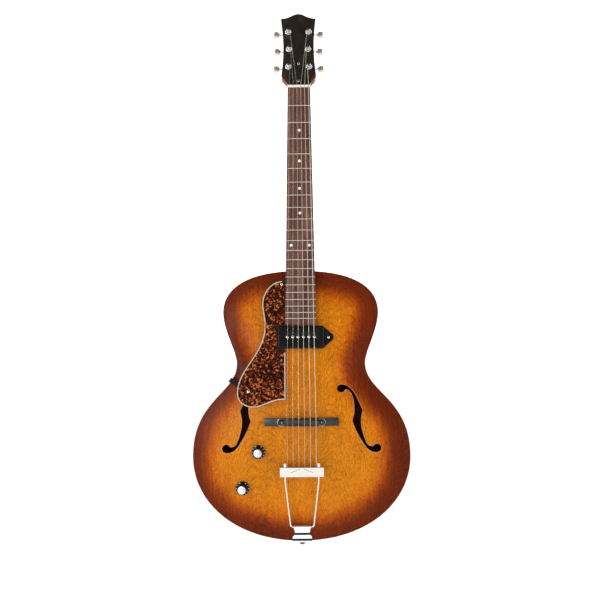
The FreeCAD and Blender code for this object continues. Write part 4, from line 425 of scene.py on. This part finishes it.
# Tuners: turned posts in pressed bushings, stamped housings over worm and gear,
# and cast buttons, all plated; screws hold the housings and the cover.
chrome, add, shade = new_finish("chrome")
shade(Base_Color=(0.83, 0.83, 0.84, 1), Metallic=1,
      Roughness=grey_speckle(add, 300, 0.06, 0.15))
for piece in ("tuner_bushings", "tuner_housings"):
    dressed(piece, chrome)
for number in range(1, 7):
    dressed("tuner_post_%d" % number, chrome)
satin_chrome, add, shade = new_finish("satin_chrome")
shade(Base_Color=(0.74, 0.65, 0.56, 1), Metallic=1,
      Roughness=grey_speckle(add, 500, 0.46, 0.56))
for number in range(1, 7):
    dressed("tuner_button_%d" % number, satin_chrome)
nickel, add, shade = new_finish("nickel")
shade(Base_Color=(0.68, 0.64, 0.60, 1), Metallic=1,
      Roughness=grey_speckle(add, 350, 0.12, 0.24))
for piece in ("headstock_screws", "top_screws", "bracket_screws", "pickup_pole_screws", "output_jack"):
    dressed(piece, nickel)

# Bridge: a floating base and saddle of blackened hardwood, held only by the
# strings; brass thumbwheels on two studs set the saddle's height, and its feet are
# filed narrow so that a finger reaches the wheels' rims.
ebonised, add, shade = new_finish("ebonised_wood")
fine_grain = speckle(add, 240, (0.05, 1, 1), 4)
shade(Base_Color=ramp(add, fine_grain, (0.3, 0.006, 0.0055, 0.005), (0.7, 0.018, 0.016, 0.015)),
      Roughness=0.32,
      Normal=add("Bump", {"Strength": 0.12, "Distance": 0.0003, "Height": fine_grain}).outputs[0])
dressed("bridge_base", ebonised, ease=0.0009)
saddle = dressed("bridge_saddle", ebonised, ease=0.0006)
foot_start, foot_end, foot_room = 0.0285, 0.0435, 0.0001
foot_middle, foot_half = 0.22875, 0.0033
bpy.ops.object.mode_set(mode="EDIT")
for side in (-1, 1):
    bpy.ops.mesh.select_all(action="SELECT")
    bpy.ops.mesh.bisect(plane_co=(side * foot_start, 0, 0), plane_no=(1, 0, 0))
filed = bmesh.from_edit_mesh(saddle.data)
for vertex in filed.verts:
    if abs(vertex.co.x) > foot_start + foot_room:
        vertex.co.z = min(max(vertex.co.z, foot_middle - foot_half), foot_middle + foot_half)
        vertex.co.x = math.copysign(min(abs(vertex.co.x), foot_end), vertex.co.x)
bmesh.update_edit_mesh(saddle.data)
bpy.ops.mesh.select_all(action="SELECT")
bpy.ops.mesh.remove_doubles(threshold=weld_gap)
bpy.ops.object.mode_set(mode="OBJECT")
bpy.ops.object.shade_smooth_by_angle(angle=math.radians(usual_smooth))
brass, add, shade = new_finish("brass")
# Wheel faces: the flat faces across each wheel's axis are coloured near-black, a painted reflection of the
# dark room in front; the rims keep the bright brass.
wheel_normal = add("SeparateXYZ", {0: add("TexCoord", {}).outputs["Normal"]}).outputs["Y"]
painted_reflection_faces = add("Math", {0: wheel_normal}, operation="ABSOLUTE").outputs[0]
shade(Base_Color=ramp(add, painted_reflection_faces, (0.9, 0.88, 0.82, 0.70), (0.98, 0.10, 0.09, 0.075)), Metallic=1,
      Roughness=grey_speckle(add, 600, 0.15, 0.28))
for piece in ("treble_thumbwheel", "bass_thumbwheel"):
    dressed(piece, brass)
dressed("bridge_studs", nickel)

# Tailpiece: a cast nickel bar on two bent rods with cap nuts, hinged on a chromed
# bracket with pressed steps, which is screwed over the tail; the strap button's
# screw goes through it.
for piece, ease in (("tailpiece_bar", 0.0005), ("tailpiece_rods", 0), ("tailpiece_nuts", 0)):
    dressed(piece, nickel, ease)
bracket = dressed("tailpiece_bracket", chrome)
plate_front, press_smooth = -0.0365, 6
press_steps = ((0.0215, 0), (0.0178, -0.0024), (0.0105, 0), (0.0068, -0.0022), (0, -0.0022))
bpy.ops.object.mode_set(mode="EDIT")
for level, _ in press_steps[:-1]:
    bpy.ops.mesh.select_all(action="SELECT")
    bpy.ops.mesh.bisect(plane_co=(0, 0, level), plane_no=(0, 0, 1))
pressed = bmesh.from_edit_mesh(bracket.data)
for vertex in pressed.verts:
    for (above, above_push), (below, below_push) in zip(press_steps, press_steps[1:]):
        if vertex.co.y < plate_front and below <= vertex.co.z < above:
            share = (above - vertex.co.z) / (above - below)
            vertex.co.y += above_push + share * (below_push - above_push)
            break
bmesh.update_edit_mesh(bracket.data)
bpy.ops.object.mode_set(mode="OBJECT")
bpy.ops.object.shade_smooth_by_angle(angle=math.radians(press_smooth))
dark_steel, add, shade = new_finish("dark_steel")
shade(Base_Color=ramp(add, speckle(add, 300), (0.3, 0.10, 0.10, 0.10), (0.7, 0.18, 0.175, 0.17)), Metallic=1,
      Roughness=0.3)
for piece in ("strap_button", "truss_rod", "pot_bodies"):
    dressed(piece, dark_steel)

# Lines on the tailpiece bar: two shallow cuts on its front that lean together and
# stop short of meeting, drawn as thin dark strips whose darkness is painted shade in the cuts.
hinge_place, tail_lean = (0, -0.0455811, 0.03385), math.radians(9.22814)
tail_place = Matrix.Translation(hinge_place) @ Matrix.Rotation(tail_lean, 4, "X")
cut_size, cut_ease = (0.0187, 0.00016, 0.0008), 0.00006
cut_middle = (0.01225, -0.0045, 0.10855)
cut_lean = math.radians(21)
cuts = []
for side in (-1, 1):
    bpy.ops.object.select_all(action="DESELECT")
    bpy.ops.mesh.primitive_cube_add(size=1)
    cut = bpy.context.object
    cut.matrix_world = (tail_place @ Matrix.Translation((side * cut_middle[0], *cut_middle[1:]))
                        @ Matrix.Rotation(side * cut_lean, 4, "Y") @ Matrix.Diagonal((*cut_size, 1)))
    bpy.ops.object.transform_apply(location=True, rotation=True, scale=True)
    bpy.ops.object.mode_set(mode="EDIT")
    bpy.ops.mesh.bevel(offset=cut_ease, segments=1)
    bpy.ops.object.mode_set(mode="OBJECT")
    cuts.append(cut)
for cut in cuts:
    cut.select_set(True)
bpy.ops.object.join()
bar_line_shade = bpy.context.object
bar_line_shade.name = "tailpiece_bar.line_shade"
# The strips take the dark steel finish as painted shade of the cuts.
bar_line_shade.data.materials.append(dark_steel)
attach(bar_line_shade, "tailpiece")

# Pickup: a moulded black cover with an ear at each end for its screws, over a
# taped coil, two bar magnets and a brass base plate.
black_plastic, add, shade = new_finish("black_plastic")
shade(Base_Color=grey_speckle(add, 200, 0.002, 0.005), Roughness=0.2, Specular_IOR_Level=0.2)
dressed("pickup_cover", black_plastic, ease=0.0007)
coil_tape, add, shade = new_finish("coil_tape")
shade(Base_Color=grey_speckle(add, 300, 0.02, 0.05), Roughness=0.6)
dressed("pickup_coil", coil_tape)
magnet_alloy, add, shade = new_finish("magnet_alloy")
shade(Base_Color=ramp(add, speckle(add, 250), (0.3, 0.22, 0.22, 0.22), (0.7, 0.36, 0.35, 0.34)), Metallic=1,
      Roughness=0.5)
dressed("pickup_magnets", magnet_alloy, ease=0.0003)
base_plate_brass, add, shade = new_finish("base_plate_brass")
shade(Base_Color=(0.72, 0.56, 0.27, 1), Metallic=1,
      Roughness=grey_speckle(add, 250, 0.25, 0.4))
dressed("pickup_base", base_plate_brass)

# Pickguard: a floating plate of mottled celluloid with an ivory edge strip, bare
# where it meets fretboard and pickup, on a black arm from the rib and a post beside
# the neck, held by small screws.
swirl_reach = (0.006, 0.006, 0.006)
tortoise, add, shade = new_finish("tortoise")
guard_place = add("TexCoord", {}).outputs["Object"]
swirl = add("TexNoise", {"Vector": guard_place, "Scale": 260, "Detail": 2}).outputs["Color"]
swirled = add("VectorMath", {0: swirl, 1: swirl_reach, 2: guard_place}, operation="MULTIPLY_ADD").outputs[0]
shards = add("TexVoronoi", {"Vector": swirled, "Scale": 330}).outputs["Color"]
depth = add("TexNoise", {"Vector": guard_place, "Scale": 420, "Detail": 3}).outputs["Fac"]
shard = add("SeparateXYZ", {0: shards}).outputs["X"]
fleck = add("Math", {0: depth, 1: 0.9, 2: shard}, operation="MULTIPLY_ADD").outputs[0]
fleck = add("Math", {0: fleck, 1: 0.7}, operation="MULTIPLY").outputs[0]
shade(Base_Color=ramp(add, fleck, (0.5, 0.009, 0.0015, 0.001), (0.7, 0.036, 0.006, 0.002),
                      (0.84, 0.10, 0.017, 0.006), (0.93, 0.32, 0.06, 0.012), (1.0, 0.50, 0.17, 0.05)),
      Roughness=0.2, Specular_IOR_Level=0.08)
dressed("pickguard", tortoise)
ivory, add, shade = new_finish("ivory_plastic")
edge_parts = add("SeparateXYZ", {0: add("TexCoord", {}).outputs["Object"]}).outputs
bare_places = ((-0.0345, 0.3575, 0.6), (-0.066, 0.3575, 0.413))
bare_edge = 0
for left, low, high in bare_places:
    inside = add("Math", {0: edge_parts["X"], 1: left}, operation="GREATER_THAN").outputs[0]
    for limit, side in ((low, "GREATER_THAN"), (high, "LESS_THAN")):
        within = add("Math", {0: edge_parts["Z"], 1: limit}, operation=side).outputs[0]
        inside = add("Math", {0: inside, 1: within}, operation="MULTIPLY").outputs[0]
    bare_edge = add("Math", {0: bare_edge, 1: inside}, operation="MAXIMUM").outputs[0]
edge_ivory = ramp(add, speckle(add, 200), (0.3, 0.52, 0.46, 0.38), (0.7, 0.60, 0.55, 0.47))
edge_shade = ramp(add, bare_edge, (0.0, 1, 1, 1), (1.0, 0.07, 0.02, 0.012))
edge_colour = add("VectorMath", {0: edge_ivory, 1: edge_shade}, operation="MULTIPLY").outputs[0]
shade(Base_Color=edge_colour, Roughness=0.3, Specular_IOR_Level=0.2)
dressed("pickguard_binding", ivory)
dressed("pickguard_bracket", black_plastic)

# Knobs: black moulded skirts with domed tops of spun aluminium, pressed on the
# shafts of the two controls under the soundboard.
spun, add, shade = new_finish("spun_aluminium")
shade(Base_Color=(0.66, 0.66, 0.66, 1), Metallic=1, Anisotropic=0.9,
      Roughness=grey_speckle(add, 900, 0.24, 0.32),
      Tangent=add("Tangent", {}, direction_type="RADIAL", axis="Y").outputs[0])
knob_joints = {joint["name"]: joint for joint in frame["record"]["behaviour"]["joints"]}
top_inset, top_rises = 0.0021, (0.00042, 0.00028, 0.00012)
top_facing, top_room = 0.99, 0.0001
for control in ("volume", "tone"):
    dressed(control + "_knob", black_plastic, ease=0.0003)
    top = dressed(control + "_shaft", spun, ease=0.00015)
    axis = Vector(knob_joints[control + "_turn"]["axis"])
    bpy.ops.object.mode_set(mode="EDIT")
    bpy.ops.mesh.select_all(action="DESELECT")
    bpy.ops.mesh.select_mode(type="FACE")
    crown = bmesh.from_edit_mesh(top.data)
    outermost = max(abs(face.calc_center_median().dot(axis)) for face in crown.faces)
    for face in crown.faces:
        below = outermost - abs(face.calc_center_median().dot(axis))
        face.select = abs(face.normal.dot(axis)) > top_facing and below < top_room
    bmesh.update_edit_mesh(top.data)
    for rise in top_rises:
        bpy.ops.mesh.inset(thickness=top_inset)
        bpy.ops.transform.translate(value=axis * rise)
    bpy.ops.object.mode_set(mode="OBJECT")
    bpy.ops.object.shade_smooth_by_angle(angle=math.radians(usual_smooth))

# Figures on the knobs: white numbers from 0 to 10, printed round each sloping skirt
# with their tops outwards.
skirt_foot, skirt_radius, skirt_slope = 0.0026, 0.013, math.atan2(1.8, 3.5)
figure_ring, figure_height, figure_thickness = 0.0114, 0.0034, 0.00003
figure_rise = skirt_foot + (skirt_radius - figure_ring) * math.tan(skirt_slope)
last_figure, middle_figure, figure_step = 10, 5, math.radians(30)
figure_paint, add, shade = new_finish("figure_paint")
shade(Base_Color=ramp(add, speckle(add, 900), (0.3, 0.80, 0.79, 0.76), (0.7, 0.92, 0.91, 0.89)),
      Roughness=0.45)
for control in ("volume", "tone"):
    joint = knob_joints[control + "_turn"]
    axis = Vector(joint["axis"])
    sideways = axis.cross(Vector((0, 0, 1)))
    upright = Matrix((sideways, sideways.cross(-axis), axis)).transposed()
    knob_place = Matrix.Translation(joint["pos_m"]) @ upright.normalized().to_4x4()
    figures = []
    for number in range(last_figure + 1):
        bpy.ops.object.select_all(action="DESELECT")
        bpy.ops.object.text_add()
        figure = bpy.context.object
        figure.data.body = str(number)
        figure.data.size = figure_height
        figure.data.align_x = "CENTER"
        figure.data.align_y = "CENTER"
        figure.data.extrude = figure_thickness
        bpy.ops.object.convert(target="MESH")
        figure.matrix_world = (
            knob_place @ Matrix.Rotation((middle_figure - number) * figure_step, 4, "Z")
            @ Matrix.Translation((0, figure_ring, figure_rise)) @ Matrix.Rotation(-skirt_slope, 4, "X"))
        bpy.ops.object.transform_apply(location=True, rotation=True, scale=True)
        figures.append(figure)
    for figure in figures:
        figure.select_set(True)
    bpy.ops.object.join()
    printed = figures[-1]
    printed.name = control + "_figures"
    printed.data.materials.append(figure_paint)
    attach(printed, control + "_control")

# Wiring: three leads in woven cloth from the pickup through both controls to the
# output jack, soldered at their ends and hanging clear of the plates.
half_millimetre = 0.0005


def drawn_wire(name, paths, finish):
    """Round wires as one mesh, each given by its thickness in mm and the points of its line."""
    line = bpy.data.curves.new(name, "CURVE")
    line.dimensions = "3D"
    line.bevel_depth = half_millimetre
    line.bevel_resolution = 2
    line.use_fill_caps = True
    for thickness, points in paths:
        straight = len(points) == 2
        spline = line.splines.new("POLY" if straight else "NURBS")
        spline.points.add(len(points) - 1)
        for point, place in zip(spline.points, points):
            point.co = (*place, 1)
            point.radius = thickness
        if not straight:
            spline.order_u = 3
            spline.use_endpoint_u = True
            spline.resolution_u = 3
    piece = bpy.data.objects.new(name, line)
    bpy.context.scene.collection.objects.link(piece)
    bpy.ops.object.select_all(action="DESELECT")
    bpy.context.view_layer.objects.active = piece
    piece.select_set(True)
    bpy.ops.object.convert(target="MESH")
    bpy.ops.object.shade_smooth_by_angle(angle=math.radians(60))
    piece.data.materials.clear()
    piece.data.materials.append(finish)
    return piece


lead_thickness = 2.4
leads = (
    ((-0.018, -0.04595, 0.38463), (-0.018, -0.02118, 0.38463), (-0.0265, -0.0175, 0.332),
     (-0.070, -0.0185, 0.222), (-0.07927, -0.02118, 0.17417), (-0.07927, -0.03518, 0.17417)),
    ((-0.07927, -0.03518, 0.17417), (-0.07927, -0.0139, 0.17417), (-0.09231, -0.0125, 0.14037),
     (-0.10936, -0.0139, 0.10657), (-0.10936, -0.0279, 0.10657)),
    ((-0.10936, -0.0279, 0.10657), (-0.10936, 0.01875, 0.10657), (-0.140, 0.0200, 0.0975),
     (-0.17187, 0.01875, 0.08844), (-0.17187, 0.00475, 0.08844)))
wire_cloth, add, shade = new_finish("wire_cloth")
weave = speckle(add, 1600)
shade(Base_Color=ramp(add, weave, (0.3, 0.05, 0.045, 0.04), (0.7, 0.20, 0.17, 0.13)), Roughness=0.8,
      Normal=add("Bump", {"Strength": 0.4, "Distance": 0.0002, "Height": weave}).outputs[0])
wiring = drawn_wire("wiring.finished", [(lead_thickness, points) for points in leads], wire_cloth)
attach(wiring, "guitar")
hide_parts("wiring")

# Strings: plain steel for the upper three and wound wire for the lower three, from
# their ball ends in the tailpiece over saddle and nut to the turns on the posts.
neck_lean, head_lean = math.radians(-4), math.radians(-13)
neck_place = Matrix.Translation((0, -0.0729587, 0.23375)) @ Matrix.Rotation(neck_lean, 4, "X")
head_place = neck_place @ Matrix.Translation((0, 0.004, 0.6353)) @ Matrix.Rotation(head_lean, 4, "X")
gauges = (0.3, 0.4, 0.52, 0.78, 1.0, 1.3)
last_string = len(gauges) - 1
bridge_spread, nut_spread = 0.053, 0.0366
ridge_y, ridge_z, ridge_room = -0.0780587, 0.23375, 0.0003
nut_height, nut_back, slot_room = 0.0015, 0.6353, 0.0001
board_camber = 0.4064
bar_inside = 0.1096
ball_radius, ball_length, ball_ease, ball_corner = 0.0019, 0.0034, 0.0006, 1
posts = ((-0.0202, 0.0428), (-0.0185436, 0.0829), (-0.0202, 0.123),
         (0.0202, 0.123), (0.0185436, 0.0829), (0.0202, 0.0428))
post_waist, first_turn, turn_gap, turn_points = 0.00275, 0.0034, 0.00046, 12
string_steel, add, shade = new_finish("string_steel")
shade(Base_Color=(0.64, 0.62, 0.57, 1), Metallic=1,
      Roughness=grey_speckle(add, 500, 0.18, 0.28))
string_wound, add, shade = new_finish("string_wound")
wrap_place = add("TexCoord", {}).outputs["Object"]
# The wound wrap: waves raise the windings in the bump and darken the grooves between them in colour, a
# painted shade in those grooves.
wrap_height_and_groove_shade = add("TexWave", {"Vector": wrap_place, "Scale": 900}, bands_direction="Z").outputs["Fac"]
shade(Base_Color=ramp(add, wrap_height_and_groove_shade, (0.1, 0.36, 0.33, 0.27), (0.5, 0.64, 0.58, 0.48)),
      Metallic=1, Roughness=0.28,
      Normal=add("Bump", {"Strength": 0.3, "Distance": 0.0001, "Height": wrap_height_and_groove_shade}).outputs[0])
for family, numbers, finish, turns in (
        ("plain", (0, 1, 2), string_steel, 3.25),
        ("wound", (3, 4, 5), string_wound, 2.25)):
    speaking_runs, upper_runs, lower_runs, post_runs, balls = [], [], [], [], []
    for number in numbers:
        gauge = gauges[number]
        half = gauge * half_millimetre
        bridge_x, nut_x = (spread * (number / last_string - 0.5) for spread in (bridge_spread, nut_spread))
        saddle_y = ridge_y + bridge_x ** 2 / (2 * board_camber) - half - ridge_room
        on_saddle = Vector((bridge_x, saddle_y, ridge_z))
        slot_y = nut_x ** 2 / (2 * board_camber) - nut_height - half - slot_room
        on_nut = neck_place @ Vector((nut_x, slot_y, nut_back))
        in_bar = tail_place @ Vector((bridge_x, 0, bar_inside))
        between = (on_saddle + in_bar) / 2
        post_x, post_up = posts[number]
        side = math.copysign(1, post_x)
        nut_seen = head_place.inverted() @ on_nut
        reach = post_waist + half
        heading = math.atan2(nut_seen.z - post_up, nut_seen.x - post_x)
        lean = math.acos(reach / math.hypot(nut_seen.x - post_x, nut_seen.z - post_up))
        meeting = heading - side * lean
        corner = reach / math.cos(math.pi / turn_points)
        turn_rise = 2 * half + turn_gap
        wrap = [on_nut]
        for step in range(round(turns * turn_points)):
            angle = meeting - side * 2 * math.pi * (step - 0.5) / turn_points
            sunk = first_turn + max(step - 0.5, 0) / turn_points * turn_rise
            wrap.append(head_place @ Vector((
                post_x + corner * math.cos(angle), -sunk, post_up + corner * math.sin(angle))))
        speaking_runs.append((gauge, (on_nut, on_saddle)))
        upper_runs.append((gauge, (on_saddle, between)))
        lower_runs.append((gauge, (between, in_bar)))
        post_runs.append((gauge, wrap))
        bpy.ops.object.select_all(action="DESELECT")
        bpy.ops.mesh.primitive_cylinder_add(
            vertices=16, radius=ball_radius, depth=ball_length, location=in_bar,
            rotation=(0, math.pi / 2, 0))
        bpy.ops.object.transform_apply(location=True, rotation=True, scale=True)
        ball = bpy.context.object
        bpy.ops.object.mode_set(mode="EDIT")
        bpy.ops.mesh.select_all(action="DESELECT")
        bpy.ops.mesh.select_mode(type="EDGE")
        barrel = bmesh.from_edit_mesh(ball.data)
        for edge in barrel.edges:
            edge.select = edge.calc_face_angle() > ball_corner
        bmesh.update_edit_mesh(ball.data)
        bpy.ops.mesh.bevel(offset=ball_ease, segments=2)
        bpy.ops.object.mode_set(mode="OBJECT")
        balls.append(ball)
    speaking = drawn_wire(family + "_strings.speaking", speaking_runs, finish)
    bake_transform(speaking)
    upper = drawn_wire(family + "_strings.behind_saddle", upper_runs, finish)
    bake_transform(upper)
    lower = drawn_wire(family + "_strings.at_tailpiece", lower_runs, finish)
    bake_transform(lower)
    turned = drawn_wire(family + "_strings.on_posts", post_runs, finish)
    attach(turned, "guitar")
    for ball in balls:
        ball.select_set(True)
    turned.select_set(False)
    bpy.context.view_layer.objects.active = ball
    bpy.ops.object.join()
    bpy.ops.object.shade_smooth_by_angle(angle=math.radians(50))
    ball.name = family + "_strings.ball_ends"
    ball.data.materials.append(base_plate_brass)
    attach(ball, "tailpiece")
    for piece in (speaking, upper, lower, turned, ball):
        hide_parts(family + "_strings")

# Close: the view layer is brought up to date.
bpy.context.view_layer.update()
